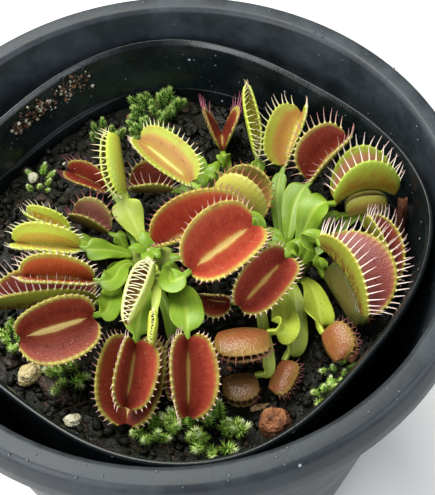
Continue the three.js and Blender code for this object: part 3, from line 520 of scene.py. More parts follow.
# %% The table of leaves
CROWNS = {"left": (-7, 0), "right": (27, -1), "back": (7, 24)}
LEAVES = [
    dict(name="leaf_crimson_behind", crown="right", tier="high", leaves=165,
         at=(16.1, 3.7, 12.1), heading=-163, pitch=-1, roll=9, gape=51,
         length=24.2, width=12.6, bend=12, tooth=2.6, stalk=4, fringe="dusty", skin="scarlet"),
    dict(name="leaf_crimson_centre", crown="left", tier="high", leaves=-40,
         at=(4, -14.5, 18.6), heading=35, pitch=9, roll=-18, gape=78,
         length=20, width=11.8, bend=6, tooth=2.6, stalk=6, swing=0.4, skin="scarlet"),
    dict(name="leaf_maroon_centre", crown="right", tier="high", leaves=-70,
         at=(25.9, -8.8, 13.9), heading=-135, pitch=-13, roll=22, gape=70,
         length=17.7, width=9.4, bend=6, tooth=2.2, stalk=4.4, swing=0.25, skin="ruby"),
    dict(name="leaf_maroon_small", crown="right", tier="low", leaves=-158,
         at=(12.8, -15, 5), heading=171, pitch=2, roll=48, gape=60,
         length=7.5, width=5.5, bend=8, tooth=2.4, stalk=4, skin="maroon"),
    dict(name="leaf_right_large", crown="right", tier="high", leaves=-40,
         at=(34.8, -6.7, 15.9), heading=-63, pitch=-13, roll=36, gape=84,
         length=22, width=11, bend=10, tooth=4.9, stalk=7, swing=0.2, arch=2.2, lean=22, skin="garnet"),
    dict(name="leaf_right_rear", crown="right", tier="low", leaves=12,
         at=(47.5, 5, 6.5), heading=-76, pitch=-6, roll=13, gape=32,
         length=19.5, width=8, bend=12, tooth=4, stalk=3, arch=1.5, skin="garnet"),
    dict(name="leaf_right_olive", crown="right", tier="low", leaves=-9,
         at=(36.3, -8.4, 5), heading=-66, pitch=-4, roll=41, gape=20,
         length=17, width=10, bend=46, tooth=2.4, stalk=4, skin="olive"),
    dict(name="leaf_right_young", crown="right", tier="low", leaves=34,
         at=(43.2, 8.3, 7.6), heading=4, pitch=7, roll=21, gape=24,
         length=10.8, width=5.7, bend=40, tooth=0, stalk=4, skin="yellow"),
    dict(name="leaf_back_right_arched", crown="right", tier="high", leaves=46,
         at=(39.8, 8.6, 12.2), heading=8, pitch=1, roll=24, gape=50,
         length=17, width=10.7, bend=30, tooth=3.9, stalk=9, arch=3, skin="golden"),
    dict(name="leaf_back_right_red", crown="right", tier="high", leaves=78,
         at=(34.6, 17.4, 10), heading=40, pitch=25, roll=6, gape=57,
         length=15.5, width=10.3, bend=8, tooth=5, stalk=7.5, skin="maroon"),
    dict(name="leaf_back_green", crown="right", tier="low", leaves=96,
         at=(28.1, 23.8, 8.2), heading=68, pitch=21, roll=16, gape=65,
         length=17, width=8.9, bend=8, tooth=4, stalk=4, skin="amber"),
    dict(name="leaf_back_maroon", crown="back", tier="low", leaves=40,
         at=(12.3, 32.4, 4.2), heading=91, pitch=-25, roll=0, gape=52,
         length=12.5, width=10.5, bend=4, tooth=4.4, stalk=4, fringe="dusty", skin="maroon"),
    dict(name="leaf_back_narrow", crown="back", tier="low", leaves=-8,
         at=(21.3, 31.1, 5.3), heading=100, pitch=37, roll=4, gape=26,
         length=18.7, width=6.7, bend=30, tooth=3.2, stalk=4, skin="lime"),
    dict(name="leaf_amber_open", crown="back", tier="high", leaves=-90,
         at=(3.8, 16.3, 12), heading=137, pitch=8, roll=2, gape=88,
         length=19.9, width=7.4, bend=6, tooth=2.2, stalk=4, swing=0.3, skin="amber"),
    dict(name="leaf_amber_shaded", crown="left", tier="low", leaves=60,
         at=(-1.6, 20.3, 3.8), heading=181, pitch=3, roll=-5, gape=64,
         length=11.5, width=8, bend=14, tooth=4.6, stalk=3, skin="maroon"),
    dict(name="leaf_yellow_closed", crown="right", tier="high", leaves=106,
         at=(20, 8.4, 3.6), heading=147, pitch=14, roll=-29, gape=35,
         length=15, width=14, bend=46, tooth=2.4, stalk=3, skin="yellow"),
    dict(name="leaf_lime_closed", crown="left", tier="high", leaves=114,
         at=(-13, 15.5, 10), heading=98, pitch=29, roll=34, gape=16,
         length=16, width=8, bend=46, tooth=3.6, stalk=8, blade="pale", skin="lime"),
    dict(name="leaf_left_red_small", crown="left", tier="low", leaves=122,
         at=(-18.5, 21, 4.5), heading=155, pitch=9, roll=22, gape=50,
         length=12, width=7, bend=6, tooth=4, stalk=4, fringe="dusty", skin="crimson"),
    dict(name="leaf_left_pink", crown="left", tier="low", leaves=146,
         at=(-17.5, 7, 4), heading=157, pitch=6, roll=-4, gape=46,
         length=11, width=8, bend=12, tooth=2.8, stalk=4, skin="dusty"),
    dict(name="leaf_left_amber", crown="left", tier="high", leaves=178,
         at=(-24, -1, 9), heading=174, pitch=3, roll=20, gape=44,
         length=17, width=9, bend=6, tooth=3, stalk=6, skin="pale_amber_partly_painted_light"),
    dict(name="leaf_left_amber_narrow", crown="left", tier="low", leaves=168,
         at=(-27, 4.5, 7), heading=154, pitch=8, roll=6, gape=36,
         length=13, width=6, bend=8, tooth=2.8, stalk=4, skin="pale_amber_partly_painted_light"),
    dict(name="leaf_left_orange", crown="left", tier="high", leaves=-150,
         at=(-19.6, -13.3, 13.3), heading=175, pitch=2, roll=18, gape=40,
         length=17.5, width=9.8, bend=6, tooth=3.4, stalk=6, skin="ember"),
    dict(name="leaf_left_maroon", crown="left", tier="low", leaves=-168,
         at=(-20.7, -13, 3.4), heading=184, pitch=2, roll=-12, gape=48,
         length=24.7, width=10.2, bend=10, tooth=4.6, stalk=3, swing=0.3, skin="garnet"),
    dict(name="leaf_front_left_red", crown="left", tier="low", leaves=-138,
         at=(-19.2, -22.7, 12.9), heading=-160, pitch=4, roll=39, gape=87,
         length=18.8, width=10.3, bend=6, tooth=1.0, stalk=6, swing=0.2, skin="maroon"),
    dict(name="leaf_cream_closed", crown="left", tier="high", leaves=-104,
         at=(-6.3, -11.5, 11.5), heading=-105, pitch=17, roll=0, gape=30,
         length=19, width=8, bend=46, tooth=3, stalk=3, lean=34, blade="pale", skin="cream"),
    dict(name="leaf_cream_young", crown="left", tier="high", leaves=-75,
         at=(-4.5, -25.1, 16.5), heading=-94, pitch=-2, roll=0, gape=14,
         length=8, width=4, bend=40, tooth=1.2, stalk=2.2, blade="pale", skin="lime"),
    dict(name="leaf_front_brown", crown="left", tier="low", leaves=-120,
         at=(-9.6, -25.7, 4.5), heading=-96, pitch=-7, roll=4, gape=94,
         length=21.8, width=10.4, bend=6, tooth=2, stalk=4, skin="maroon"),
    dict(name="leaf_front_russet", crown="left", tier="low", leaves=-95,
         at=(-9.3, -29, 10.8), heading=-100, pitch=-19, roll=20, gape=60,
         length=16.1, width=9.5, bend=6, tooth=3.6, stalk=7, stubby=1, skin="crimson"),
    dict(name="leaf_front_scarlet", crown="left", tier="low", leaves=-57,
         at=(2.6, -28.7, 11.2), heading=-91, pitch=-21, roll=12, gape=55,
         length=19.1, width=11.1, bend=6, tooth=3.6, stalk=8, stubby=1, skin="crimson"),
    dict(name="leaf_front_shaded", crown="left", tier="low", leaves=-76,
         at=(-1.2, -26, 2.5), heading=-90, pitch=0, roll=0, gape=28,
         length=15, width=6, bend=40, tooth=2.6, stalk=3, skin="maroon"),
    dict(name="leaf_front_pink_closed", crown="right", tier="low", leaves=-104,
         at=(21, -27, 10.6), heading=-179, pitch=-2, roll=74, gape=12,
         length=13, width=10, bend=46, tooth=2.4, stalk=7, swing=0.25,
         blade="spotted", arch=-1.3, skin="rose"),
    dict(name="leaf_front_olive_closed", crown="right", tier="low", leaves=-126,
         at=(18, -34.6, 3.8), heading=-172, pitch=0, roll=84, gape=20,
         length=8.5, width=8, bend=40, tooth=1.4, stalk=3, swing=0.15,
         blade="pale", arch=-0.8, skin="umber"),
    dict(name="leaf_front_rose_closed", crown="right", tier="low", leaves=-81,
         at=(25.3, -30.4, 3), heading=-118, pitch=-6, roll=82, gape=14,
         length=9, width=5.6, bend=46, tooth=2.2, stalk=7, swing=0.15,
         blade="pale", arch=-0.8, skin="rose"),
    dict(name="leaf_front_orange_closed", crown="right", tier="low", leaves=-56,
         at=(34.5, -25, 6.5), heading=-70, pitch=0, roll=60, gape=20,
         length=9, width=7.5, bend=46, tooth=2.4, stalk=8, swing=0.15,
         blade="spotted", arch=-0.8, skin="rose"),
]
print(f"{len(LEAVES)} leaves on {len(CROWNS)} crowns")

# %% [markdown]
# ## How a lobe is shaped
# A lobe's section is an arc that leaves the hinge at half the gape plus the bend, and curls in as it
# rises. Seen from the side its rim is most of an oval. From those two curves any point of a lobe can be
# found, from its share of the way along the hinge and its share of the way up from hinge to rim. Sign is
# 1 for the lobe on the leaf's left and -1 for the other. The two never cross, even where a trap is shut.

# %% The lobe's two curves
LOBE_OVERHANG = 0.11
LOBE_END_ANGLE = 5
LOBE_FULLNESS = 0.6
RIM_RIPPLE = 0.22
LEAST_ASIDE = 0.06


def compass(turn, lift):
    """The way that points along a turn and up by a lift."""
    return Vector((math.cos(turn) * math.cos(lift), math.sin(turn) * math.cos(lift), math.sin(lift)))


def hinge_frame(leaf):
    """The hinge's start, and the directions of the hinge, the mouth and the leaf's left side."""
    turn, lift, lean = (math.radians(leaf[key]) for key in ("heading", "pitch", "roll"))
    along, up = compass(turn, lift), compass(turn, lift + math.pi / 2)
    left = up.cross(along)
    mouth = up * math.cos(lean) + left * math.sin(lean)
    side = left * math.cos(lean) - up * math.sin(lean)
    x, y, rise = leaf["at"]
    return Vector((x, y, PEAT_LEVEL + rise)), along, mouth, side


def rim_angle(share):
    """The angle round the rim's oval at a share of the way along."""
    return math.radians(LOBE_END_ANGLE + (180 - 2 * LOBE_END_ANGLE) * share)


def rim_reach(share):
    """How much of its full width a lobe has there."""
    return math.sin(rim_angle(share)) ** LOBE_FULLNESS


def section_at(leaf, v):
    """How far out and up a lobe has gone at share v of its way up, and its slope from upright."""
    bend = math.radians(leaf["bend"])
    start = math.radians(leaf["gape"] / 2) + bend
    slope = start - 2 * bend * v
    out = (math.cos(slope) - math.cos(start)) / (2 * bend)
    up = (math.sin(start) - math.sin(slope)) / (2 * bend)
    return out, up, slope


def lobe_place(leaf, share, v, offset=0.0, sign=1, lift=0.0):
    """A point of a lobe. offset goes towards the inside of the trap, and lift outwards past the rim."""
    origin, along, mouth, side = leaf["frame"]
    hinge = leaf["length"] * (1 - LOBE_OVERHANG)
    on_hinge = hinge * share
    on_rim = hinge / 2 - leaf["length"] / 2 * math.cos(rim_angle(share))
    reach = leaf["width"] * rim_reach(share)
    at = on_hinge + (on_rim - on_hinge) * v
    out, up, slope = section_at(leaf, v)
    ripple = RIM_RIPPLE * v * v * math.sin(9 * share + leaf["length"] + 2 * sign)
    arched = min(max(at / hinge, 0), 1)
    rise = reach * up + offset * math.sin(slope) + lift * math.cos(slope)
    rise += leaf.get("arch", 0) * 4 * arched * (1 - arched)
    aside = reach * out - (offset - ripple) * math.cos(slope) + lift * math.sin(slope)
    aside = max(aside, LEAST_ASIDE * v) if v > 0.02 else 0
    return origin + along * at + mouth * rise + side * (sign * aside)


for leaf in LEAVES:
    leaf["frame"] = hinge_frame(leaf)
print("widest rim of", LEAVES[0]["name"], round(lobe_place(LEAVES[0], 0.5, 1).z, 1), "mm up")

# %% [markdown]
# ## A trap as one skin
# A flat sheet with a Solidify modifier would have square edges. Here a grid is wrapped once round the
# section instead: down the inside of one lobe and up the other, over a rounded rim, and back along the
# outside. The skin is thicker at the midrib, thins towards the rim, and swells a little at each tooth.
# Three attributes stay on the points, so that the colours can follow the leaf and not the world.

# %% Wrapping a grid into a trap
FACE_SHARES = (1, 0.955, 0.9, 0.83, 0.73, 0.6, 0.46, 0.32, 0.19, 0.09)
RIM_TURNS = (45, 90, 135)
END_SHARES = (0, 0.004, 0.014)
COLUMNS_PER_TOOTH = 4
THICKNESS_OF_WIDTH = 0.085
THINNEST = 0.62
THICKEST = 0.85
RIM_THINNING = 0.25
BEADS_FROM = 0.86
BEAD_SWELL = 0.45
RIB_HALF_WIDTH = 0.75
RIB_INSIDE = 0.3
RIB_OUTSIDE = 0.8


def trap_section():
    """The stations round a trap's section: (way up one lobe or the other, turn round the rim)."""
    across = [*FACE_SHARES, 0, *[-share for share in reversed(FACE_SHARES)]]
    loop = [(w, 0) for w in across] + [(-1, turn) for turn in RIM_TURNS]
    return loop + [(w, 180) for w in reversed(across)] + [(1, 180 - turn) for turn in RIM_TURNS]


TRAP_SECTION = trap_section()


def teeth_on(leaf):
    """Teeth along one rim: about one each millimetre."""
    return max(9, round(leaf["length"] * 0.95))


def wrap_trap(shape, layers, leaf):
    """Wraps a grid round both lobes of a trap."""
    teeth = teeth_on(leaf)
    inner_columns = COLUMNS_PER_TOOTH * teeth
    shares = [*END_SHARES, *[i / inner_columns for i in range(1, inner_columns)]]
    shares += [1 - share for share in reversed(END_SHARES)]
    thick = min(max(leaf["width"] * THICKNESS_OF_WIDTH, THINNEST), THICKEST)
    before = len(shape.verts)
    bmesh.ops.create_grid(shape, x_segments=len(shares) - 1, y_segments=len(TRAP_SECTION), size=1)
    shape.verts.ensure_lookup_table()
    for vertex in shape.verts[before:]:
        share = shares[round((vertex.co.x + 1) / 2 * (len(shares) - 1))]
        w, turn = TRAP_SECTION[round((vertex.co.y + 1) / 2 * len(TRAP_SECTION)) % len(TRAP_SECTION)]
        sign, v = (1 if w > 0 else -1), abs(w)
        near_end = min(min(share, 1 - share) * leaf["length"] / (0.5 * thick), 1)
        round_end = math.sqrt(max(1 - (1 - near_end) ** 2, 0))
        phase = share * teeth - (0.5 if sign > 0 else 0)
        at_rim = min(max((v - BEADS_FROM) / 0.1, 0), 1) if leaf["tooth"] else 0
        bead = max(math.cos(2 * math.pi * phase), 0) * at_rim
        rib = math.exp(-((v * leaf["width"] / RIB_HALF_WIDTH) ** 2))
        half = thick / 2 * round_end * (1 - RIM_THINNING * v + BEAD_SWELL * bead)
        from_middle = half + (RIB_INSIDE if turn < 90 else RIB_OUTSIDE) * rib * round_end
        past_rim = half * 0.8 + 0.16 * bead * round_end if v == 1 else 0
        around = math.radians(turn)
        vertex.co = lobe_place(leaf, share, v, from_middle * math.cos(around), sign,
                               past_rim * math.sin(around))
        vertex[layers["reach"]] = v
        vertex[layers["outside"]] = turn / 180
        vertex[layers["along"]] = share


print(f"{len(TRAP_SECTION)} stations round a trap's section")

# %% [markdown]
# ## Teeth and trigger hairs
# A tooth is a slim horn with a swollen foot. One is spun once, and the same small mesh is stamped along
# every rim, bent into the mouth as it goes. The two rims' teeth are half a step apart, as in life, so
# that they cross when the trap shuts. The three short hairs inside each lobe are the same horn, thinner.

# %% The horn and its bending
HORN = [(0, -0.5), (0.6, -0.2), (0.6, 0.03), (0.24, 0.12), (0.19, 0.5), (0.12, 0.8), (0, 1)]
HORN_CURL = 0.22
horn_mesh = mesh_of(spun(HORN, 6), "horn")


def add_horn(shape, layers, foot, way, curl, length, thickness, hair=False):
    """Stamps one horn: it sets out along way and bends towards curl. A hair takes the lining's colour."""
    way = way.normalized()
    beside = way.cross(curl).normalized()
    upright = beside.cross(way)

    def bent(point):
        t = max(point.z, 0)
        middle = foot + way * (length * t) + curl * (length * HORN_CURL * t * t)
        if point.z < 0:
            middle += way * (point.z * thickness)
        return middle + (beside * point.x + upright * point.y) * thickness

    heights = [vertex.co.z for vertex in horn_mesh.vertices]
    for vertex, height in zip(stamp(shape, horn_mesh, bent, 0 if hair else 1), heights):
        vertex[layers["reach"]] = 0.4 if hair else max(height, 0)


print(f"one horn: {len(horn_mesh.polygons)} faces")

# %% [markdown]
# A trap's longest teeth stand on the middle of its rims, and those at the ends fan out along the hinge.
# Each one's length and way also vary a little by chance. Lobes up to 7 mm wide have slimmer teeth.

# %% Setting the teeth
HAIR_PLACES = ((0.32, 0.5), (0.5, 0.62), (0.66, 0.48))
HAIR_LENGTH = 1.2
HAIR_THICKNESS = 0.3
TOOTH_THICKNESS = 0.62
SLIM_TOOTH_THICKNESS = 0.5
SLIM_TEETH_UP_TO = 7
STUBBY_SHARE = 0.45


def add_teeth(shape, layers, leaf, dice):
    """Teeth along both rims and three hairs inside each lobe."""
    origin, along, mouth, side = leaf["frame"]
    thickness = TOOTH_THICKNESS if leaf["width"] > SLIM_TEETH_UP_TO else SLIM_TOOTH_THICKNESS
    teeth = teeth_on(leaf) if leaf["tooth"] else 0
    lean = math.radians(leaf.get("lean", 0))
    for sign in (1, -1):
        for k in range(teeth if sign > 0 else teeth - 1):
            share = (k + (0.5 if sign > 0 else 1)) / teeth
            slope = section_at(leaf, 1)[2] - lean
            upward = mouth * math.cos(slope) + side * (sign * math.sin(slope))
            inward = mouth * math.sin(slope) - side * (sign * math.cos(slope))
            angle = rim_angle(share)
            way = upward * (0.6 + 0.4 * math.sin(angle)) - along * (0.62 * math.cos(angle))
            way += along * dice.uniform(-0.1, 0.1) + inward * dice.uniform(-0.12, 0.12)
            length = leaf["tooth"] * (0.66 + 0.42 * math.sin(angle)) * dice.uniform(0.85, 1.12)
            length *= STUBBY_SHARE if sign == leaf.get("stubby") else 1
            foot = lobe_place(leaf, share, 1, 0, sign, 0.15)
            add_horn(shape, layers, foot, way, inward, length, thickness)
        for share, v in HAIR_PLACES if teeth else ():
            slope = section_at(leaf, v)[2]
            inward = mouth * math.sin(slope) - side * (sign * math.cos(slope))
            foot = lobe_place(leaf, share, v, 0.25, sign)
            add_horn(shape, layers, foot, inward, mouth, HAIR_LENGTH, HAIR_THICKNESS, True)


print("teeth on each rim:", min(map(teeth_on, LEAVES)), "to", max(map(teeth_on, LEAVES)))

# %% [markdown]
# ## Stalks
# A stalk leaves its crown at a slant, spreads into two fleshy wings, and pinches to a neck just below the
# trap. It follows one smooth curve, whose four control points come from the crown and the hinge. A grid
# is wrapped round it too: flat and slightly grooved on top, with a round rib beneath, and thin, gently
# waved edges. Its root runs into the crown and its neck into the midrib, so that no joint shows.

# %% Wrapping a grid into a stalk
CROWN_RADIUS = 7
CROWN_TOP_RADIUS = 4.4
CROWN_LOW_TIER = 2.4
ROOT_GAP = 0.8
LOW_ROOT = 1.7
HIGH_ROOT = CROWN_LOW_TIER + 1.6
LEAST_RISE = math.radians(25)
STALK_EASE = 0.38
STALK_ROOT_HALF_WIDTH = 1.2
NECK_HALF_WIDTH = 0.7
NECK_LENGTH = 2
NECK_OVERLAP = 0.9
ROOT_OVERLAP = 1.6
STALK_ROWS = 30
NECK_STATIONS = (1.03, 1.08, 1.13)
WING_SHARES = (1, 0.93, 0.78, 0.6, 0.4, 0.2, 0.08)
WING_FULL_AT = 0.84
WING_SHOULDER = 0.86
WING_THICKNESS = 0.14
WING_WAVE = 0.2
WING_LIFT = 0.18
BODY_THICKNESS = 0.3
TOP_GROOVE = 0.12
UNDER_RIB = 0.75


def stalk_curve(leaf):
    """The four control points of the curve that a stalk follows."""
    origin, along, mouth, side = leaf["frame"]
    neck = origin - along * NECK_LENGTH
    x, y = CROWNS[leaf["crown"]]
    high = leaf["tier"] == "high"
    away = math.radians(leaf["leaves"])
    root = compass(away, 0) * ((CROWN_TOP_RADIUS if high else CROWN_RADIUS) + ROOT_GAP)
    root += Vector((x, y, PEAT_LEVEL + (HIGH_ROOT if high else LOW_ROOT)))
    level = math.hypot(neck.x - root.x, neck.y - root.y)
    rise = max(LEAST_RISE, math.atan2(neck.z - root.z, level))
    span = (neck - root).length
    set_out = root + compass(away, rise) * span * STALK_EASE
    come_round = neck - along * span * leaf.get("swing", STALK_EASE)
    return root, set_out, come_round, neck


def bezier(points, t):
    """A point of the curve and its direction."""
    a, b, c, d = points
    s = 1 - t
    place = a * s ** 3 + b * (3 * s * s * t) + c * (3 * s * t * t) + d * t ** 3
    slope = (b - a) * (3 * s * s) + (c - b) * (6 * s * t) + (d - c) * (3 * t * t)
    return place, slope.normalized()


def wing_fullness(share):
    """How much of its full width a stalk has: it swells, and ends in two round shoulders."""
    if share < WING_SHOULDER:
        return math.sin(math.pi / 2 * min(share / WING_FULL_AT, 1)) ** 1.2
    return max(math.cos(math.pi / 2 * (share - WING_SHOULDER) / (1 - WING_SHOULDER)), 0) ** 0.6


def wrap_stalk(shape, layers, leaf):
    """Wraps a grid round a stalk, from inside its crown to under the hinge."""
    origin, along, mouth, side = leaf["frame"]
    curve = stalk_curve(leaf)
    across_top = [*WING_SHARES, 0, *[-share for share in reversed(WING_SHARES)]]
    loop = [(at, 1) for at in across_top] + [(at, -1) for at in reversed(across_top)]
    stations = [-0.06, *[i / STALK_ROWS for i in range(STALK_ROWS + 1)], *NECK_STATIONS]
    before = len(shape.verts)
    bmesh.ops.create_grid(shape, x_segments=len(stations) - 1, y_segments=len(loop), size=1)
    shape.verts.ensure_lookup_table()
    shape.verts.index_update()
    last = len(stations) - 1
    for vertex in shape.verts[before:]:
        row = round((vertex.co.x + 1) / 2 * last)
        t = stations[row]
        at, face = loop[round((vertex.co.y + 1) / 2 * len(loop)) % len(loop)]
        share = min(max(t, 0), 1)
        middle, way = bezier(curve, share)
        if t < 0:
            middle -= way * ROOT_OVERLAP
        if t > 1:
            middle += along * ((t - 1) / (NECK_STATIONS[-1] - 1) * (NECK_LENGTH + NECK_OVERLAP))
        upward = Vector((0, 0, 1)).lerp(mouth, share ** 3)
        across = way.cross(upward).normalized()
        normal = across.cross(way)
        least = STALK_ROOT_HALF_WIDTH + (NECK_HALF_WIDTH - STALK_ROOT_HALF_WIDTH) * share
        half = least + max(leaf["stalk"] / 2 - least, 0) * wing_fullness(share)
        rib = math.exp(-((at * half / RIB_HALF_WIDTH) ** 2))
        thick = WING_THICKNESS + BODY_THICKNESS * (1 - at * at)
        thick += -TOP_GROOVE * rib if face > 0 else UNDER_RIB * rib
        if row in (0, last):
            half, thick = 0.2, 0.1
        wave = WING_WAVE * at * at * math.sin(11 * share + 3 * at + leaf["length"]) if half > 1.5 else 0
        lift = abs(at) * half * WING_LIFT + wave + face * thick
        vertex.co = middle + across * (at * half) + normal * lift
        vertex[layers["reach"]] = abs(at)
        vertex[layers["outside"]] = 0.5 - face * 0.5
        vertex[layers["along"]] = share
    for face in shape.faces:
        if all(vertex.index >= before for vertex in face.verts):
            face.material_index = 2


def close_ends(shape):
    """Fills the small open ends of the stalk."""
    rims = [edge for edge in shape.edges if edge.is_boundary]
    bmesh.ops.holes_fill(shape, edges=rims, sides=0)


print("stalks: from", round(stalk_curve(LEAVES[0])[0].z, 1), "mm up")

# %% [markdown]
# ## Colours of the leaves
# The lining of a trap is red where the sun reaches it, with a pale midrib and a green-gold rim band
# where the nectar glands sit. Old traps are brown and shiny, young ones pale green. Each skin is a set
# of colours, named for where it goes. rib, lining, deep, edge and band: the inside of a lobe, from the
# midrib to the rim, where rim is the height at which the band starts. back and blush: its outside.
# streak: dark strokes on the outside of some. foot, tooth and tip: a tooth, from its foot to its end.

# %% The palette
SKINS = {
    "scarlet": dict(rib="#D8BC74", lining="#A44230", deep="#8A2A1E", edge="#B4703E", band="#AEA048", rim=0.95,
                    back="#8F8A32", blush="#965A30", foot="#ECE09A", tooth="#CCA492", tip="#A86C74"),
    "ember": dict(rib="#D8C07C", lining="#A8522C", deep="#964424", edge="#B07038", band="#A0A040", rim=0.9,
                  back="#8F9232", blush="#965A30", foot="#E4DC94", tooth="#E4D4C0", tip="#C89AA0"),
    "crimson": dict(rib="#D4B66C", lining="#8C3628", deep="#72221A", edge="#9C5836", band="#8C7E32", rim=0.96,
                    back="#868630", blush="#8A5A2C", foot="#E6D88C", tooth="#DCC0B4", tip="#A8687A"),
    "ruby": dict(rib="#D0AE66", lining="#8E382C", deep="#76261E", edge="#9C5634", band="#94863A", rim=0.96,
                 back="#7A6C30", blush="#8A3A38", foot="#E8DA90", tooth="#E4C8BC", tip="#B07080"),
    "maroon": dict(rib="#D6BC78", lining="#7E3020", deep="#641E14", edge="#8A5030", band="#9C9440", rim=0.955,
                   back="#747430", blush="#6E4C26", foot="#E6DA90", tooth="#CCA898", tip="#A46478"),
    "garnet": dict(rib="#CCAC66", lining="#86403A", deep="#702E2C", edge="#9A5C34", band="#A0963A", rim=0.96,
                   back="#929C34", blush="#8A7E2E", foot="#E8DE94", tooth="#F0DAD0", tip="#D8A4B0",
                   streak="#6A2E18"),
    "dusty": dict(rib="#A08858", lining="#8A5E50", deep="#78483E", edge="#967048", band="#9C9454", rim=0.9,
                  back="#84703C", blush="#84603C", foot="#B8A45C", tooth="#A06070", tip="#783C50"),
    "amber": dict(rib="#CCC074", lining="#AE8844", deep="#A27440", edge="#A89C44", band="#A2AE3C", rim=0.74,
                  back="#94A63A", blush="#A89440", foot="#C4C668", tooth="#E0D8B4", tip="#D0B0A0"),
    # partly painted light: a paler copy of amber, partly these leaves' own lighter colour and partly
    # brightened for the shade they stand in
    "pale_amber_partly_painted_light": dict(rib="#DCD888", lining="#C4AA52", deep="#C29A4A", edge="#BEBC50", band="#BCCC54", rim=0.62,
                  back="#9CB03E", blush="#A89C44", foot="#D2D478", tooth="#E8E2C4", tip="#D8C0B0"),
    "golden": dict(rib="#D4C870", lining="#A8745A", deep="#98604A", edge="#A29444", band="#98AE3A", rim=0.88,
                   back="#8A962F", blush="#84641F", foot="#D0D478", tooth="#EAD8CC", tip="#D0A4A8"),
    "yellow": dict(rib="#C0B860", lining="#9A6E40", deep="#8C5A36", edge="#A89848", band="#B4B058", rim=0.9,
                   back="#B8B44C", blush="#AC8E48", foot="#B09048", tooth="#9C6044", tip="#7C3E34"),
    "lime": dict(rib="#D2D670", lining="#AEAC44", deep="#9A9038", edge="#B2B63E", band="#BCCA4A", rim=0.84,
                 back="#A6B840", blush="#B0A83E", foot="#CCD468", tooth="#DCDCA0", tip="#C4988C"),
    "cream": dict(rib="#D8D890", lining="#A67E60", deep="#8A6048", edge="#B0A460", band="#D6DC90", rim=0.86,
                  back="#A8BC4C", blush="#B8BC5C", foot="#E0E2A0", tooth="#E8E4B8", tip="#E0D8A4"),
    "olive": dict(rib="#8C7A3C", lining="#5E3420", deep="#3E2014", edge="#6E6A2C", band="#707838", rim=0.9,
                  back="#565E2C", blush="#5A5028", foot="#7A6A34", tooth="#6E4038", tip="#4E242C"),
    "umber": dict(rib="#7A5C34", lining="#4E2C1C", deep="#361A12", edge="#6A4C28", band="#6E5A30", rim=0.92,
                  back="#6A4C2A", blush="#52361E", foot="#6A5430", tooth="#5C2C34", tip="#421820"),
    "rose": dict(rib="#A88050", lining="#6E3024", deep="#4A1C18", edge="#8A5838", band="#94783E", rim=0.92,
                 back="#86622F", blush="#8A5030", foot="#A07C4A", tooth="#94605C", tip="#6E3240"),
}
print(len(SKINS), "skins")

# %% [markdown]
# A living leaf is waxy and lets some light into itself, so its skin has an IOR of 1.4, a soft sheen and a
# little subsurface light. The attributes made above lay the colours out: reach from midrib to rim, along
# from end to end, outside from lining to back. The lining also has veins, which run from midrib to rim,
# darker patches 2.8 mm across, and its digestive glands, which are dots 0.4 mm apart. Old traps, whose
# skin has died back, are smoother and shinier, and more crumpled.

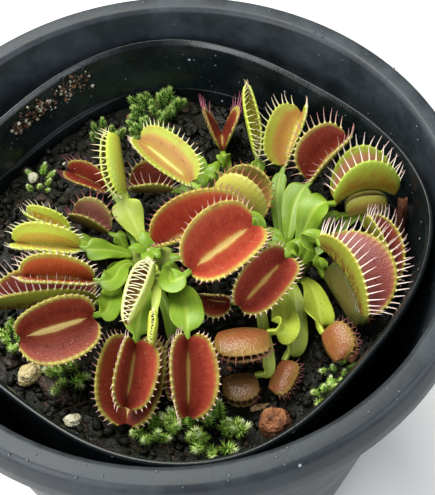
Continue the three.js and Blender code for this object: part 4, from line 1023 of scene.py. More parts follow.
# %% The skin of a trap
def lobe_skin(name, colours, glossy):
    """A trap's skin: its lining inside and its back outside."""
    material, tree = new_material(name)
    place = place_on_object(tree)
    reach = node(tree, "Attribute", attribute_name="reach").outputs["Fac"]
    along = node(tree, "Attribute", attribute_name="along").outputs["Fac"]
    outside = node(tree, "Attribute", attribute_name="outside").outputs["Fac"]
    mottle = node(tree, "TexNoise", {"Vector": place, "Scale": 1 / 0.0028, "Detail": 4})
    wander = node(tree, "MapRange", {"Value": mottle.outputs["Fac"], "From Min": 0.3, "From Max": 0.7,
                                     "To Min": -0.02, "To Max": 0.02})
    wandered = node(tree, "Math", {0: reach, 1: wander.outputs["Result"]}, operation="ADD")
    off_middle = node(tree, "Math", {0: along, 1: 0.5}, operation="SUBTRACT")
    to_end = node(tree, "Math", {0: off_middle.outputs[0]}, operation="ABSOLUTE")
    end_shift = node(tree, "MapRange", {"Value": to_end.outputs[0], "From Min": 0.3, "From Max": 0.5,
                                        "To Min": 0, "To Max": 0.16})
    way_up = node(tree, "Math", {0: wandered.outputs[0], 1: end_shift.outputs["Result"]}, operation="ADD")
    rim = colours["rim"]
    lining = node(tree, "ValToRGB", {"Fac": way_up.outputs[0]}, [
        (0.0, colours["rib"]), (1.0, colours["band"]), (0.11, colours["rib"]), (0.15, colours["edge"]),
        (0.22, colours["lining"]), (0.5, colours["deep"]), (rim - 0.14, colours["lining"]),
        (rim - 0.03, colours["edge"]), (rim, colours["band"])])
    veins_at = node(tree, "CombineXYZ", {"X": along, "Y": reach})
    vein_size = node(tree, "Mapping", {"Vector": veins_at.outputs[0], "Scale": (42, 2.6, 1)})
    veins = node(tree, "TexNoise", {"Vector": vein_size.outputs[0], "Scale": 1, "Detail": 3})
    vein_share = node(tree, "MapRange", {"Value": veins.outputs["Fac"], "From Min": 0.48, "From Max": 0.75,
                                         "To Min": 0, "To Max": 0.36})
    veined = node(tree, "Mix", {0: vein_share.outputs["Result"], 6: lining.outputs["Color"],
                                7: linear(colours["edge"])}, data_type="RGBA")
    shaded = node(tree, "MapRange", {"Value": mottle.outputs["Fac"], "From Min": 0.44, "From Max": 0.68,
                                     "To Min": 0, "To Max": 0.5})
    patchy = node(tree, "Mix", {0: shaded.outputs["Result"], 6: veined.outputs[2],
                                7: linear(colours["deep"])}, data_type="RGBA")
    clear = node(tree, "MapRange", {"Value": reach, "From Min": 0.14, "From Max": 0.24})
    clean_rib = node(tree, "Mix", {0: clear.outputs["Result"], 6: lining.outputs["Color"],
                                   7: patchy.outputs[2]}, data_type="RGBA")
    glands = node(tree, "TexVoronoi", {"Vector": place, "Scale": 1 / 0.00042}, feature="F1")
    gland_share = node(tree, "MapRange", {"Value": glands.outputs["Distance"], "From Min": 0.1,
                                          "From Max": 0.38, "To Min": 0.42, "To Max": 0})
    dotted = node(tree, "Mix", {0: gland_share.outputs["Result"], 6: clean_rib.outputs[2],
                                7: linear(colours["edge"])}, data_type="RGBA")
    back = node(tree, "ValToRGB", {"Fac": way_up.outputs[0]}, [
        (0.0, colours["back"]), (1.0, colours["band"]), (0.16, colours["blush"]), (0.62, colours["blush"]),
        (0.88, colours["back"])])
    back_share = node(tree, "MapRange", {"Value": mottle.outputs["Fac"], "From Min": 0.4, "From Max": 0.66,
                                         "To Min": 0, "To Max": 0.5})
    back_toned = node(tree, "Mix", {0: back_share.outputs["Result"], 6: back.outputs["Color"],
                                    7: linear(colours["back"])}, data_type="RGBA")
    back_colour = back_toned.outputs[2]
    if "streak" in colours:
        low = node(tree, "MapRange", {"Value": reach, "From Min": 0.62, "From Max": 0.4})
        stroke = node(tree, "MapRange", {"Value": veins.outputs["Fac"], "From Min": 0.48, "From Max": 0.54})
        streak = node(tree, "Math", {0: low.outputs["Result"], 1: stroke.outputs["Result"]},
                      operation="MULTIPLY")
        streaked = node(tree, "Mix", {0: streak.outputs[0], 6: back_colour,
                                      7: linear(colours["streak"])}, data_type="RGBA")
        back_colour = streaked.outputs[2]
    which = node(tree, "MapRange", {"Value": outside, "From Min": 0.3, "From Max": 0.7})
    colour = node(tree, "Mix", {0: which.outputs["Result"], 6: dotted.outputs[2], 7: back_colour},
                  data_type="RGBA")
    relief = node(tree, "Math", {0: mottle.outputs["Fac"], 1: 3.0 if glossy else 0.6}, operation="MULTIPLY")
    rough = node(tree, "Math", {0: relief.outputs[0], 1: glands.outputs["Distance"]}, operation="ADD")
    bump = node(tree, "Bump", {"Height": rough.outputs[0], "Strength": 0.4 if glossy else 0.24,
                               "Distance": 0.00025})
    skin = node(tree, "BsdfPrincipled", {
        "Base Color": colour.outputs[2], "Roughness": 0.22 if glossy else 0.38, "IOR": 1.4,
        "Subsurface Weight": 0.12, "Subsurface Radius": (0.6, 0.35, 0.15), "Subsurface Scale": 0.0012,
        "Normal": bump.outputs["Normal"]})
    node(tree, "OutputMaterial", {"Surface": skin.outputs[0]})
    return material


OLD_SKINS = ("rose", "olive", "umber")
lobe_skins = {key: lobe_skin(f"trap_skin_{key}", skin, key in OLD_SKINS) for key, skin in SKINS.items()}
print(len(lobe_skins), "skins for traps")

# %% [markdown]
# Teeth and stalks are the same waxy leaf. A tooth has a bead at its foot, is paler above it and turns pink
# towards its tip. A stalk's wings are a brighter green than its rib, with fine veins along them, cells
# of 0.7 mm that break up the shine a little, and on some stalks faint spots 1.3 mm apart.

# %% The skins of teeth and stalks
def horn_skin(name, bead, shaft, tip):
    """Teeth: a waxy bead at the foot, paler above, pinker to the tip."""
    material, tree = new_material(name)
    height = node(tree, "Attribute", attribute_name="reach").outputs["Fac"]
    colour = node(tree, "ValToRGB", {"Fac": height}, [
        (0.0, bead), (1.0, tip), (0.08, bead), (0.2, shaft), (0.5, shaft)])
    skin = node(tree, "BsdfPrincipled", {"Base Color": colour.outputs["Color"], "Roughness": 0.4, "IOR": 1.4,
                                         "Subsurface Weight": 0.1, "Subsurface Scale": 0.0006})
    node(tree, "OutputMaterial", {"Surface": skin.outputs[0]})
    return material


def stalk_skin(name, rib, blade, edge, spots=None):
    """Fleshy green leaf: a paler rib, brighter wings, and faint spots on some."""
    material, tree = new_material(name)
    place = place_on_object(tree)
    reach = node(tree, "Attribute", attribute_name="reach").outputs["Fac"]
    along = node(tree, "Attribute", attribute_name="along").outputs["Fac"]
    blades = node(tree, "ValToRGB", {"Fac": reach}, [
        (0.0, rib), (1.0, edge), (0.06, rib), (0.2, blade), (0.86, blade)])
    mottle = node(tree, "TexNoise", {"Vector": place, "Scale": 1 / 0.0035, "Detail": 5})
    shade = node(tree, "MapRange", {"Value": mottle.outputs["Fac"], "From Min": 0.35, "From Max": 0.75,
                                    "To Min": 0, "To Max": 0.45})
    toned = node(tree, "Mix", {0: shade.outputs["Result"], 6: blades.outputs["Color"],
                               7: linear(edge)}, data_type="RGBA")
    veins_at = node(tree, "CombineXYZ", {"X": reach, "Y": along})
    vein_size = node(tree, "Mapping", {"Vector": veins_at.outputs[0], "Scale": (13, 2.2, 1)})
    veins = node(tree, "TexNoise", {"Vector": vein_size.outputs[0], "Scale": 1, "Detail": 3})
    vein_share = node(tree, "MapRange", {"Value": veins.outputs["Fac"], "From Min": 0.45, "From Max": 0.7,
                                         "To Min": 0, "To Max": 0.36})
    veined = node(tree, "Mix", {0: vein_share.outputs["Result"], 6: toned.outputs[2],
                                7: linear(rib)}, data_type="RGBA")
    colour = veined.outputs[2]
    if spots:
        dots = node(tree, "TexVoronoi", {"Vector": place, "Scale": 1 / 0.0013}, feature="F1")
        dot_share = node(tree, "MapRange", {"Value": dots.outputs["Distance"], "From Min": 0.1,
                                            "From Max": 0.22, "To Min": 0.55, "To Max": 0})
        spotted = node(tree, "Mix", {0: dot_share.outputs["Result"], 6: colour, 7: linear(spots)},
                       data_type="RGBA")
        colour = spotted.outputs[2]
    cells = node(tree, "TexNoise", {"Vector": place, "Scale": 1 / 0.0007, "Detail": 2})
    bump = node(tree, "Bump", {"Height": cells.outputs["Fac"], "Strength": 0.15, "Distance": 0.0003})
    skin = node(tree, "BsdfPrincipled", {
        "Base Color": colour, "Roughness": 0.4, "IOR": 1.4, "Subsurface Weight": 0.18,
        "Subsurface Radius": (0.5, 0.6, 0.12), "Subsurface Scale": 0.0015,
        "Normal": bump.outputs["Normal"]})
    node(tree, "OutputMaterial", {"Surface": skin.outputs[0]})
    return material


horn_skins = {}
for key, skin in SKINS.items():
    horn_skins[key] = horn_skin(f"tooth_{key}", skin["foot"], skin["tooth"], skin["tip"])
stalk_skins = {
    "green": stalk_skin("stalk_green", "#94AC44", "#709224", "#86A430"),
    # partly painted light: the pale and spotted stalks are yellow-green, and made brighter still because they
    # stand in the shade of traps
    "pale": stalk_skin("stalk_pale_partly_painted_light", "#BACA6A", "#A8BA4A", "#B6C658"),
    "spotted": stalk_skin("stalk_spotted_partly_painted_light", "#BCCC50", "#AABC3C", "#B8C84A", "#6E6A26"),
}
print(len(horn_skins), "skins for teeth,", len(stalk_skins), "for stalks")

# %% [markdown]
# ## Growing the leaves
# Each leaf is one piece: the trap's skin, its teeth and its stalk. Each one draws from its own seed, so
# that no two are quite alike, and the same ones grow at every run.

# %% Every leaf
FIRST_SEED = 100
grown = []
for number, leaf in enumerate(LEAVES):
    dice = random.Random(FIRST_SEED + number)
    shape = bmesh.new()
    layers = {key: shape.verts.layers.float.new(key) for key in ("reach", "outside", "along")}
    wrap_trap(shape, layers, leaf)
    add_teeth(shape, layers, leaf, dice)
    shape.verts.index_update()
    wrap_stalk(shape, layers, leaf)
    bmesh.ops.remove_doubles(shape, verts=shape.verts, dist=TOUCHING)
    close_ends(shape)
    key = leaf["skin"]
    finishes = [lobe_skins[key], horn_skins[leaf.get("fringe", key)], stalk_skins[leaf.get("blade", "green")]]
    piece_name = leaf["name"].replace("leaf_", "grown_")
    grown.append(finish_piece(shape, piece_name, finishes, [leaf["name"]]))
print(len(grown), "leaves,", sum(len(made.data.polygons) for made in grown), "faces")

# %% [markdown]
# ## Crowns
# Each crown is a stump of old leaf bases, pale where the light never reached them. It is a turned shape
# with two steps, pinched nine times round, so that it looks like bases packed side by side.

# %% Crowns: their stumps
CROWN_DEPTH = 9
CROWN_HIGH_TIER = 6.4
BASE_PINCH = 0.16
bulb_skin = stalk_skin("leaf_base_pale", "#94A050", "#6A8034", "#7C8C3A")


def crown_stump(x, y):
    """A stump of leaf bases, with its middle at a place on the peat."""
    stump = spun([
        (0, PEAT_LEVEL - CROWN_DEPTH),
        (CROWN_RADIUS, PEAT_LEVEL - CROWN_DEPTH),
        (CROWN_RADIUS, PEAT_LEVEL + 0.6),
        (CROWN_RADIUS - 0.6, PEAT_LEVEL + CROWN_LOW_TIER),
        (CROWN_TOP_RADIUS, PEAT_LEVEL + CROWN_LOW_TIER + 1),
        (CROWN_TOP_RADIUS - 0.8, PEAT_LEVEL + CROWN_HIGH_TIER - 1.6),
        (0, PEAT_LEVEL + CROWN_HIGH_TIER),
    ], 36, [(2, 5, 0.5)])
    for vertex in stump.verts:
        if vertex.co.z > PEAT_LEVEL:
            turn = math.atan2(vertex.co.y, vertex.co.x)
            pinch = 1 - BASE_PINCH * abs(math.sin(4.5 * turn + vertex.co.z * 0.3))
            vertex.co.x *= pinch
            vertex.co.y *= pinch
    bmesh.ops.translate(stump, vec=(x, y, 0), verts=stump.verts)
    return stump


print("stumps:", CROWN_DEPTH, "mm deep in the peat,", CROWN_HIGH_TIER, "mm high above it")

# %% [markdown]
# Leaves that have no trap yet are fleshy straps, without wings or a neck. Six lie low round each crown and
# five younger ones stand on top of it. A strap is one grid, rolled into a flat tube whose ends are drawn
# together, and set out along an arc that rises and comes down again. Each row of the table is one ring of
# them. offset: how far the ring is turned, in steps from one strap to the next. base and out: how far
# their feet are above the peat and out from the middle. reach, rise and width: the least and the most,
# between which each strap's own is drawn.

# %% Crowns: their strap leaves
STRAP_ROWS = 14
STRAP_COLUMNS = 12
STRAPS = [
    dict(count=6, offset=0, base=0, out=2, reach=(5, 8), rise=(1.4, 2.6), width=(2.8, 4)),
    dict(count=5, offset=0.5, base=CROWN_HIGH_TIER - 1.2, out=0.4, reach=(3.6, 5.4), rise=(1.2, 2.6),
         width=(3, 3.8)),
]


def strap_leaf(shape, foot, turn, reach_out, rise, width, seed):
    """A short fleshy leaf that sets out from its foot and bends over."""
    before = len(shape.verts)
    bmesh.ops.create_grid(shape, x_segments=STRAP_ROWS, y_segments=STRAP_COLUMNS, size=1)
    shape.verts.ensure_lookup_table()
    out = compass(turn, 0)
    across = Vector((-out.y, out.x, 0))
    for vertex in shape.verts[before:]:
        t = (vertex.co.x + 1) / 2
        around = (vertex.co.y + 1) * math.pi
        at, face = math.cos(around), math.sin(around)
        middle = foot + out * (reach_out * t ** 1.3) + Vector((0, 0, rise * math.sin(1.9 * t)))
        bulge = math.sin(math.pi * min(0.12 + 0.88 * t, 1)) ** 0.6 if 0 < t < 1 else 0
        half = width / 2 * bulge
        lift = face * (0.16 + 0.5 * math.exp(-((at * half / 0.8) ** 2))) * min(bulge * 2, 1)
        cup = 0.12 * half * at * at + 0.04 * math.sin(7 * t + seed) * at
        vertex.co = middle + across * (at * half) + Vector((0, 0, 1)) * (lift + cup) - out * (0.4 * lift)


for name, (x, y) in CROWNS.items():
    finish_piece(crown_stump(x, y), f"stump_{name}", [bulb_skin], [f"crown_{name}"])
    dice = random.Random(7 + len(name))
    straps = bmesh.new()
    reach_layer = straps.verts.layers.float.new("reach")
    for kind in STRAPS:
        for i in range(kind["count"]):
            turn = 2 * math.pi * (i + kind["offset"]) / kind["count"] + dice.uniform(-0.3, 0.3)
            foot = Vector((x, y, PEAT_LEVEL + kind["base"])) + compass(turn, 0) * kind["out"]
            reach_out, rise, width = (dice.uniform(*kind[key]) for key in ("reach", "rise", "width"))
            strap_leaf(straps, foot, turn, reach_out, rise, width, i)
    for vertex in straps.verts:
        vertex[reach_layer] = 0.5
    finish_piece(straps, f"strap_leaves_{name}", [stalk_skins["green"]])
print(len(CROWNS), "crowns, each with", sum(kind["count"] for kind in STRAPS), "strap leaves")

# %% [markdown]
# ## Moss
# A moss shoot is a bottle brush: a curved stem with rings of tiny pointed leaves, longer in the middle.
# Three shoots are built once, one unit tall, from one flat leaf with three sides and one thin stem. A
# shoot is repeated a hundred times, so each leaf has only four faces.

# %% Moss: its shoots
SHOOT_RINGS = 13
LEAVES_IN_RING = 6
leaflet = bmesh.new()
bmesh.ops.create_cone(leaflet, cap_ends=True, segments=3, radius1=0.24, radius2=0, depth=1,
                      matrix=Matrix.Translation((0, 0, 0.5)))
bmesh.ops.scale(leaflet, vec=(1, 0.45, 1), verts=leaflet.verts)
leaflet_mesh = mesh_of(leaflet, "moss_leaf")
stem_mesh = mesh_of(spun([(0, 0), (0.022, 0), (0.018, 0.9), (0, 1)], 5), "moss_stem")


def moss_shoot(seed):
    """A shoot one unit tall on the origin."""
    dice = random.Random(seed)
    shape = bmesh.new()
    layer = shape.verts.layers.float.new("reach")
    stamp(shape, stem_mesh, Matrix.Identity(4))
    bow = dice.uniform(0.1, 0.25)
    for ring in range(SHOOT_RINGS):
        height = 0.16 + 0.84 * ring / (SHOOT_RINGS - 1)
        length = 0.34 * math.sin(math.pi * min(0.26 + 0.6 * height, 1)) + 0.06
        for spoke in range(LEAVES_IN_RING):
            turn = 2 * math.pi * (spoke + 0.5 * (ring % 2)) / LEAVES_IN_RING + dice.uniform(-0.3, 0.3)
            lean = math.radians(80 - 42 * height ** 2 - dice.uniform(0, 20))
            place = (Matrix.Translation((0, 0, height * 0.94)) @ Matrix.Rotation(turn, 4, "Z")
                     @ Matrix.Rotation(lean, 4, "Y") @ Matrix.Diagonal((0.16, 0.16, length, 1)))
            for vertex in stamp(shape, leaflet_mesh, place):
                vertex[layer] = height
    for vertex in shape.verts:
        vertex.co.x += bow * vertex.co.z ** 2
    return mesh_of(shape, f"moss_shoot_{seed}")


shoots = [moss_shoot(seed) for seed in (1, 2, 3)]
print("faces in a shoot:", len(shoots[0].polygons))

# %% [markdown]
# Living moss is thin and wet, so light comes through it: new growth at a shoot's tip is nearly yellow, and
# its foot, in the shade of its own leaves, is dark. Clumps by the back wall stand in the pot's shade and
# are duller. A clump stamps the three shoots in turn, leant outwards, turned and scaled.

# %% Moss: its greens and its clumps
MOSS_FILL = 0.8
MOSS_LEAN = 0.85
MOSS_SUNK = 0.3
SHADE_FROM = 30
ONE_TURN = 6.28


def moss_green(name, foot, middle, upper, tip):
    """Moss, from the foot of a shoot to its tip."""
    material, tree = new_material(name)
    height = node(tree, "Attribute", attribute_name="reach").outputs["Fac"]
    green = node(tree, "ValToRGB", {"Fac": height}, [(0.0, foot), (1.0, tip), (0.35, middle), (0.8, upper)])
    leaf = node(tree, "BsdfPrincipled", {"Base Color": green.outputs["Color"], "Roughness": 0.5,
                                         "Subsurface Weight": 0.15, "Subsurface Scale": 0.0008})
    node(tree, "OutputMaterial", {"Surface": leaf.outputs[0]})
    return material


moss_skin = moss_green("live_moss", "#5E8E2C", "#A4D850", "#CDEE7A", "#F0FCC4")
moss_shade = moss_green("shaded_moss", "#26401A", "#447024", "#6A9A38", "#98B860")
MOSSES = [
    dict(name="moss_front", at=(6.8, -46.3), across=15, deep=10, shoots=17, height=7),
    dict(name="moss_front_left", at=(-5, -46), across=6.5, deep=6, shoots=8, height=6),
    dict(name="moss_left", at=(-39, -21.5), across=6, deep=8, shoots=12, height=4.8),
    dict(name="moss_right", at=(34.2, -37.6), across=5, deep=4.4, shoots=6, height=4.4),
    dict(name="moss_back", at=(-8, 44), across=8, deep=6, shoots=12, height=6),
    dict(name="sprigs_back_wall", at=(-5, 52.5), across=16, deep=4, shoots=16, height=7),
    dict(name="sprigs_left", at=(-26.5, -31.5), across=6, deep=6, shoots=8, height=6.4),
    dict(name="sprigs_right", at=(38.5, -33), across=7, deep=6, shoots=8, height=4.4),
    dict(name="sprigs_far_left", at=(-37, 27), across=7, deep=8, shoots=7, height=4),
    dict(name="sprigs_far_back", at=(-19, 43), across=9, deep=6, shoots=7, height=5),
    dict(name="sprigs_far_right", at=(50, 3), across=4, deep=9, shoots=6, height=3.4),
]
for moss in MOSSES:
    dice = random.Random(moss["name"])
    x, y = moss["at"]
    clump = bmesh.new()
    clump.verts.layers.float.new("reach")
    for i in range(moss["shoots"]):
        around = 2 * math.pi * i / moss["shoots"] + dice.uniform(-0.4, 0.4)
        spread = math.sqrt(dice.uniform(0.02, 1)) * MOSS_FILL
        east, north = math.cos(around) * spread, math.sin(around) * spread
        px, py = x + east * moss["across"] / 2, y + north * moss["deep"] / 2
        tall = moss["height"] * dice.uniform(0.72, 1)
        place = (Matrix.Translation((px, py, crumbly_ground(px, py) - MOSS_SUNK))
                 @ Matrix.Rotation(-north * MOSS_LEAN, 4, "X") @ Matrix.Rotation(east * MOSS_LEAN, 4, "Y")
                 @ Matrix.Rotation(dice.uniform(0, ONE_TURN), 4, "Z")
                 @ Matrix.Diagonal((tall, tall, tall, 1)))
        stamp(clump, shoots[i % len(shoots)], place)
    green = moss_shade if y > SHADE_FROM else moss_skin
    stands_for = [moss["name"]] if moss["name"].startswith("moss_") else ()
    finish_piece(clump, f"{moss['name']}_shoots", [green], stands_for)
print(len(MOSSES), "clumps of moss")

# %% [markdown]
# ## Stones and bark
# Lava, pumice and perlite are broken or blown, so they are lumps with pits. Their finish is dull, in three
# tones that change over about four pits, and the pits are 0.5 to 0.8 mm across. Pine bark is a little
# smoother. Perlite is grey-white, pumice tan and lava rust brown.

# %% Stones and bark: their finishes
def stone_skin(name, dark, middle, pale, grain, roughness=0.8):
    """Porous mineral: three tones, and pits of a given size in metres."""
    material, tree = new_material(name)
    place = place_on_object(tree)
    tones = node(tree, "TexNoise", {"Vector": place, "Scale": 1 / (grain * 4), "Detail": 6,
                                    "Roughness": 0.65})
    colour = node(tree, "ValToRGB", {"Fac": tones.outputs["Fac"]}, [
        (0.34, dark), (0.66, pale), (0.5, middle)])
    pits = node(tree, "TexVoronoi", {"Vector": place, "Scale": 1 / grain}, feature="F1")
    bump = node(tree, "Bump", {"Height": pits.outputs["Distance"], "Strength": 0.7, "Distance": 0.0004})
    stone = node(tree, "BsdfPrincipled", {"Base Color": colour.outputs["Color"], "Roughness": roughness,
                                          "Normal": bump.outputs["Normal"]})
    node(tree, "OutputMaterial", {"Surface": stone.outputs[0]})
    return material


STONE_SKINS = {
    "lava_stone": stone_skin("rusty_lava_stone", "#3A2014", "#7A4828", "#A87448", 0.0008),
    "tan_stone": stone_skin("tan_pumice", "#8E7C50", "#B9A878", "#D2C89C", 0.0006),
    "perlite": stone_skin("white_perlite", "#A8A488", "#DAD6B8", "#EEEBD8", 0.0005),
    "bark": stone_skin("pine_bark", "#120C08", "#2C1E15", "#4A3628", 0.0009, 0.6),
}
print("finishes:", ", ".join(skin.name for skin in STONE_SKINS.values()))

# %% [markdown]
# Each lump is an icosphere pulled to its size and roughened by noise, in the same place as its solid. at is
# its place on the peat, turn its turn in degrees, sink how far it lies in the peat, and rough how
# broken it is. The bark chip is flatter.

# %% Stones and bark: their shapes
STONES = [
    dict(name="stone_rust", slot="lava_stone",
         at=(22, -45.5), size=(8, 7, 6), turn=20, sink=1.5, rough=0.9),
    dict(name="stone_tan", slot="tan_stone",
         at=(-35, -31), size=(6, 5, 4.5), turn=50, sink=1.2, rough=0.5),
    dict(name="stone_white", slot="perlite",
         at=(-24, -43), size=(4.4, 3.2, 3), turn=10, sink=0.8, rough=0.45),
    dict(name="stone_cream_right", slot="perlite",
         at=(53, 12), size=(4, 3.4, 5), turn=0, sink=0.8, rough=0.4),
    dict(name="stone_white_back", slot="perlite",
         at=(-39, 29), size=(3, 3, 3), turn=0, sink=0.6, rough=0.4),
    dict(name="bark_chip", slot="bark",
         at=(-28.5, -35.5), size=(11, 4.4, 2.4), turn=-40, sink=0.3, rough=1.3),
    dict(name="stone_brown_right", slot="lava_stone",
         at=(41, -28), size=(4, 4, 3), turn=30, sink=0.8, rough=0.5),
]
LUMP_SWELL = 0.22
LUMP_CHIPS = 0.3
for stone in STONES:
    lump = bmesh.new()
    bmesh.ops.create_icosphere(lump, subdivisions=5, radius=1)
    x, y = stone["at"]
    for vertex in lump.verts:
        point = vertex.co.copy()
        big = noise.noise(point * 1.6 + Vector((x, y, 0)))
        fine = abs(noise.noise(point * 5 + Vector((y, x, 2))))
        vertex.co = point * (1 + LUMP_SWELL * big - stone["rough"] * LUMP_CHIPS * fine)
    width, depth, tall = stone["size"]
    bmesh.ops.scale(lump, vec=(width / 2, depth / 2, tall / 2), verts=lump.verts)
    middle = Matrix.Translation((x, y, ground(x, y) + tall / 2 - stone["sink"]))
    turned = Matrix.Rotation(math.radians(stone["turn"]), 4, "Z")
    bmesh.ops.transform(lump, verts=lump.verts, matrix=middle @ turned)
    finish_piece(lump, f"{stone['name']}_lump", [STONE_SKINS[stone["slot"]]], [stone["name"]])
print(len(STONES), "stones and chips")

# %% [markdown]
# ## Litter on the peat
# The surface is strewn with crumbs, root fibres, flakes of bark and grains of perlite. Three small shapes
# with few faces are enough for all of them: a crumb, a rounder grain, and a fibre, which is a thin spun
# stick laid down and bowed.

# %% Litter: its shapes
def lump_template(name, subdivisions, roughness, seed):
    """A small uneven lump, one unit across."""
    shape = bmesh.new()
    bmesh.ops.create_icosphere(shape, subdivisions=subdivisions, radius=0.5)
    for vertex in shape.verts:
        vertex.co *= 1 + roughness * noise.noise(vertex.co * 5 + Vector((seed, 0, 0)))
    return mesh_of(shape, name)


crumb = lump_template("crumb", 1, 1.1, 1)
grain = lump_template("grain", 2, 0.6, 4)
fibre_shape = spun([(0, 0), (0.02, 0), (0.024, 0.5), (0, 1)], 4)
bmesh.ops.subdivide_edges(fibre_shape, edges=fibre_shape.edges, cuts=1, use_grid_fill=True)
for vertex in fibre_shape.verts:
    height = vertex.co.z - 0.5
    vertex.co = Vector((height, vertex.co.x + 0.25 * height * height, vertex.co.y))
fibre = mesh_of(fibre_shape, "fibre")
print("faces:", *(f"{mesh.name} {len(mesh.polygons)}" for mesh in (crumb, grain, fibre)))

# %% [markdown]
# Each kind is one piece of many small copies, scattered by a seeded draw over the squarish bed. Small ones
# are commoner than large ones, and each is sunk a little into the peat. Root fibres are dead and dry, so
# they are paler and duller than the peat.

# %% Litter: laid on the peat
def on_bed(dice, margin):
    """A random place on the peat, a margin away from the wall."""
    turn = dice.uniform(0, 2 * math.pi)
    far = (tray_inside(PEAT_LEVEL) - margin) * math.sqrt(dice.uniform(0, 1))
    reach = square_reach(math.cos(turn), math.sin(turn))
    return math.cos(turn) * far * reach, math.sin(turn) * far * reach


def scatter(name, count, template, sizes, flatness, finish, seed, margin=0.8, tilt=0.5, sunk=0.3):
    """Copies of a template, of random size, turn and tilt, lying on the peat."""
    dice = random.Random(seed)
    heap = bmesh.new()
    for _ in range(count):
        x, y = on_bed(dice, margin)
        size = sizes[0] + (sizes[1] - sizes[0]) * dice.random() ** 2
        place = (Matrix.Translation((x, y, crumbly_ground(x, y) + size * (0.5 - sunk) * flatness))
                 @ Matrix.Rotation(dice.uniform(0, ONE_TURN), 4, "Z")
                 @ Matrix.Rotation(dice.uniform(-tilt, tilt), 4, "X")
                 @ Matrix.Diagonal((size * dice.uniform(0.7, 1.4), size, size * flatness, 1)))
        stamp(heap, template, place)
    finish_piece(heap, name, [finish])
    return count


fibre_skin = peat_like("root_fibre", "#1A120B", "#3A291B", "#66503A", 0.4)
laid = [
    scatter("peat_crumbs", 3400, crumb, (0.4, 3.2), 0.7, wet_peat, 31, tilt=1.2),
    scatter("root_fibres", 420, fibre, (3, 9), 0.6, fibre_skin, 32, 4, 0.25, 0.35),
    scatter("bark_flakes", 150, grain, (1.4, 4.4), 0.25, STONE_SKINS["bark"], 33, 3),
    scatter("perlite_grains", 46, grain, (0.5, 1.5), 0.8, STONE_SKINS["perlite"], 34, 2),
    scatter("rusty_grains", 40, grain, (0.7, 2.2), 0.7, STONE_SKINS["lava_stone"], 35, 2),
]
print("litter laid:", sum(laid), "bits")

# %% [markdown]
# ## A dry stalk and a flake
# Two single finds stand out: a dead brown stalk that leans on the right wall, and a pale flake of wood by
# the lava stone. The stalk is a subdivided block drawn out from its foot to its head, folded a little along
# its middle. The flake is one grain of the litter, pulled flat and long. Both are dry and dull: the stalk
# is a reddish brown with fibres, and the flake has the fine pores of softwood.

# %% Dry stalk and flake
def by_wall(turn, height, gap):
    """A point a gap in front of the nursery pot's inner face."""
    way = compass(turn, 0)
    return way * (tray_inside(height) * square_reach(way.x, way.y) - gap) + Vector((0, 0, height))


DRY_GAP = 2.3
DRY_FOOT = by_wall(0, PEAT_LEVEL - 1, DRY_GAP)
DRY_HEAD = by_wall(math.radians(8), PEAT_LEVEL + 13, DRY_GAP)
DRY_WIDTH = 3.4
DRY_THICKNESS = 0.9
DRY_BOW = 0.7
FLAKE_AT = (18.6, -40.8)
FLAKE_SIZE = (5.4, 1.7, 0.9)
FLAKE_TURN = math.radians(14)
dry_skin = peat_like("dry_leaf_stalk", "#2A160E", "#5A3220", "#8E5E44", 0.5)
dry = bmesh.new()
bmesh.ops.create_cube(dry, size=1)
bmesh.ops.subdivide_edges(dry, edges=dry.edges, cuts=9, use_grid_fill=True)
for vertex in dry.verts:
    t = vertex.co.z + 0.5
    ragged = 1 + 0.3 * noise.noise(Vector((4 * t, 2 * vertex.co.x, 7)))
    fold = 1.4 * abs(vertex.co.x) - DRY_BOW * math.sin(math.pi * t)
    aside = Vector((vertex.co.x * DRY_WIDTH * (1 - 0.3 * t) * ragged, vertex.co.y * DRY_THICKNESS + fold, 0))
    vertex.co = DRY_FOOT.lerp(DRY_HEAD, t) + aside
finish_piece(dry, "dry_stalk", [dry_skin])

wood = stone_skin("pale_wood_flake", "#7A5C38", "#A8875A", "#CDB48A", 0.0007)
flake = bmesh.new()
stamp(flake, grain, Matrix.Translation((*FLAKE_AT, crumbly_ground(*FLAKE_AT) + 0.7))
      @ Matrix.Rotation(FLAKE_TURN, 4, "Z") @ Matrix.Diagonal((*FLAKE_SIZE, 1)))
finish_piece(flake, "wood_flake", [wood])
print("one dry stalk,", round((DRY_HEAD - DRY_FOOT).length, 1), "mm long, and one flake")

# %% [markdown]
# ## Grit on the wall, and water
# Watering has splashed grit onto the nursery pot's back left wall, and left drops on the rims and walls.
# Both are placed by their turn round the pot and their height, and lie on the wall's own face, so that
# they touch it from every side. One function for each face gives a point on it and the way it looks.

# %% Places on the walls
RIM_TOP_WIDTH = 4
RIM_TOP_FALL = 0.2


def on_tray_wall(turn, height):
    """A point on the nursery pot's inner face, and the way that the face looks."""
    return by_wall(turn, height, 0), -compass(turn, 0)


def on_pot_mouth(turn, height):
    """A point on the round pot's inner face above the nursery pot."""
    way = compass(turn, 0)
    waist = POT_MOUTH_RADIUS - MOUTH_TAPER
    radius = waist + MOUTH_TAPER * (height - skirt_bottom) / (POT_SKIRT_DEPTH - 1)
    if height < skirt_bottom:
        floor_radius = POT_BASE_RADIUS - POT_WALL
        radius = floor_radius + (waist - floor_radius) * (height - POT_FLOOR) / (skirt_bottom - POT_FLOOR)
    return way * radius + Vector((0, 0, height)), -way


def on_pot_rim(turn, across):
    """A point on the round pot's rim, across its top from the mouth at 0 to the crease at 1."""
    up = Vector((0, 0, 1))
    out = compass(turn, 0) * (POT_MOUTH_RADIUS + 1 + RIM_TOP_WIDTH * across)
    return out + up * (POT_HEIGHT - RIM_TOP_FALL + RIM_TOP_FALL * across), up


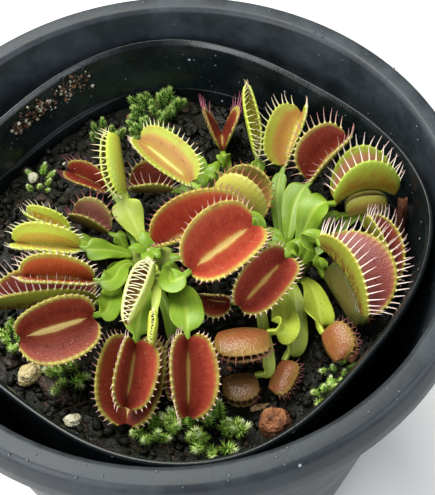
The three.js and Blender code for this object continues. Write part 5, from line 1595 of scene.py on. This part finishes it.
def stuck_on(template, heap, place, facing, size, flatness, spin_by):
    """Stamps a copy flat on a surface."""
    turn = facing.to_track_quat("Z", "Y").to_matrix().to_4x4()
    stamp(heap, template, Matrix.Translation(place) @ turn @ Matrix.Rotation(spin_by, 4, "Z")
          @ Matrix.Diagonal((size, size * 0.9, size * flatness, 1)))


print("mouth at the back:", [round(c, 1) for c in on_pot_mouth(math.pi / 2, POT_HEIGHT - 2)[0]])

# %% [markdown]
# The grit has dried on in small patches between two heights. It is lava, perlite and peat, dustier than on
# the bed. Each grain is drawn near the middle of one patch, so that patches are dense inside and thin out.

# %% Grit on the wall
GRIT_PATCHES = 34
GRIT_GRAINS = 460
GRIT_TOP = 113
PATCH_SPREAD_DEGREES = 1.3
PATCH_SPREAD_UP = 0.9
GRIT_MIX = {"peat": 5, "lava_stone": 4, "perlite": 2}
GRIT_SKINS = {
    "lava_stone": stone_skin("rusty_grit", "#26160E", "#54331F", "#7A563A", 0.0006),
    "perlite": stone_skin("dusty_perlite_grit", "#6A6656", "#9E9A86", "#C4C0AC", 0.0005),
    "peat": wet_peat,
}
dice = random.Random(41)
heaps = {kind: bmesh.new() for kind in GRIT_SKINS}
patches = [(dice.triangular(110, 150, 132), dice.triangular(105, 112, 109.5)) for _ in range(GRIT_PATCHES)]
for _ in range(GRIT_GRAINS):
    middle = dice.choice(patches)
    turn = math.radians(dice.gauss(middle[0], PATCH_SPREAD_DEGREES))
    height = min(dice.gauss(middle[1], PATCH_SPREAD_UP), GRIT_TOP)
    kind = dice.choices(list(GRIT_MIX), list(GRIT_MIX.values()))[0]
    place, facing = on_tray_wall(turn, height)
    size = 0.35 + 1.1 * dice.random() ** 2
    template = grain if kind == "perlite" else crumb
    stuck_on(template, heaps[kind], place, facing, size, 0.7, dice.uniform(0, 6))
for kind, heap in heaps.items():
    finish_piece(heap, f"wall_grit_{kind}", [GRIT_SKINS[kind]])
print(GRIT_GRAINS, "grains in", GRIT_PATCHES, "patches")

# %% [markdown]
# A drop on plastic is a flattened dome of water, with an IOR of 1.333 and a very sharp glint. The dark pot
# shows through it, and in a drop this small the pot's own colour does that, with no light let through. A
# drop on a red lining would look black that way, so it lets light through, and its base is near white: a
# painted glint, so that each bead shows as a pale speck.

# %% Drops
DROP_SHAPE = 0.5


def drop_skin(name, base, clear):
    """Water: a base colour for what it lies on, or a near white painted glint, and how much of the light goes
    through.
    """
    material, tree = new_material(name)
    wet = node(tree, "BsdfPrincipled", {"Base Color": linear(base), "Roughness": 0.04, "IOR": 1.333,
                                        "Specular IOR Level": 0.9, "Transmission Weight": clear})
    node(tree, "OutputMaterial", {"Surface": wet.outputs[0]})
    return material


def sprinkle(heap, count, face, span, sizes):
    """Drops of a few sizes all round a face, within a span of its heights or of its width."""
    for _ in range(count):
        place, facing = face(dice.uniform(0, ONE_TURN), dice.uniform(*span))
        stuck_on(drop, heap, place, facing, dice.choice(sizes), DROP_SHAPE, 0)


water = drop_skin("water_drop", "#3A444A", 0)
# painted glint: dew is near white and partly clear, so that each bead shows as a bright speck
dew_painted_glint = drop_skin("dew_drop_painted_glint", "#F6EADC", 0.6)
drop_shape = bmesh.new()
bmesh.ops.create_uvsphere(drop_shape, u_segments=8, v_segments=6, radius=0.5)
drop = mesh_of(drop_shape, "drop")

drops = bmesh.new()
sprinkle(drops, 150, on_pot_rim, (0, 1), (0.3, 0.35, 0.4, 0.6, 0.8))
sprinkle(drops, 150, on_pot_mouth, (96, 119), (0.3, 0.4, 0.5, 0.8))
finish_piece(drops, "drops_on_round_pot", [water])
drops = bmesh.new()
sprinkle(drops, 200, on_tray_wall, (99, 112), (0.3, 0.35, 0.45, 0.7))
finish_piece(drops, "drops_on_nursery_pot", [water])
print("one drop:", len(drop.polygons), "faces")

# %% [markdown]
# ## Dew on the linings
# Fine dew sits on the red linings of open traps. Each bead is the same dome, smaller, set on the inside
# face of a lobe and turned to lie on it.

# %% Dew
DEWY = ("scarlet", "crimson", "ruby", "maroon", "garnet", "ember")
OPEN_FROM = 30
DEW_HEIGHT = 0.3
SQUARE_MM_PER_BEAD = 9
DEW_SIZES = (0.2, 0.22, 0.26, 0.34)
dew = bmesh.new()
for leaf in LEAVES:
    if leaf["skin"] not in DEWY or leaf["gape"] < OPEN_FROM:
        continue
    origin, along, mouth, side = leaf["frame"]
    for _ in range(round(leaf["length"] * leaf["width"] / SQUARE_MM_PER_BEAD)):
        sign = dice.choice((1, -1))
        share, v = dice.uniform(0.14, 0.86), dice.uniform(0.3, 0.84)
        slope = section_at(leaf, v)[2]
        facing = mouth * math.sin(slope) - side * (sign * math.cos(slope))
        place = lobe_place(leaf, share, v, DEW_HEIGHT, sign)
        stuck_on(drop, dew, place, facing, dice.choice(DEW_SIZES), 0.6, 0)
beads = len(dew.faces) // len(drop.polygons)
finish_piece(dew, "dew_on_linings", [dew_painted_glint])
print(beads, "beads of dew")

# %% [markdown]
# ## Sizes, and the end
# The dressed model's box and the solids' box are both printed, with the number of pieces and faces.

# %% Sizes and finish
bpy.context.view_layer.update()
low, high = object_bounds()
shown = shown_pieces()
print(len(shown), "pieces,", sum(len(piece.data.polygons) for piece in shown), "faces")
for title, box in (("box", (*low, *high)), ("of", (*cad_low, *cad_high))):
    print(title, [round(c / MM, 1) for c in box])
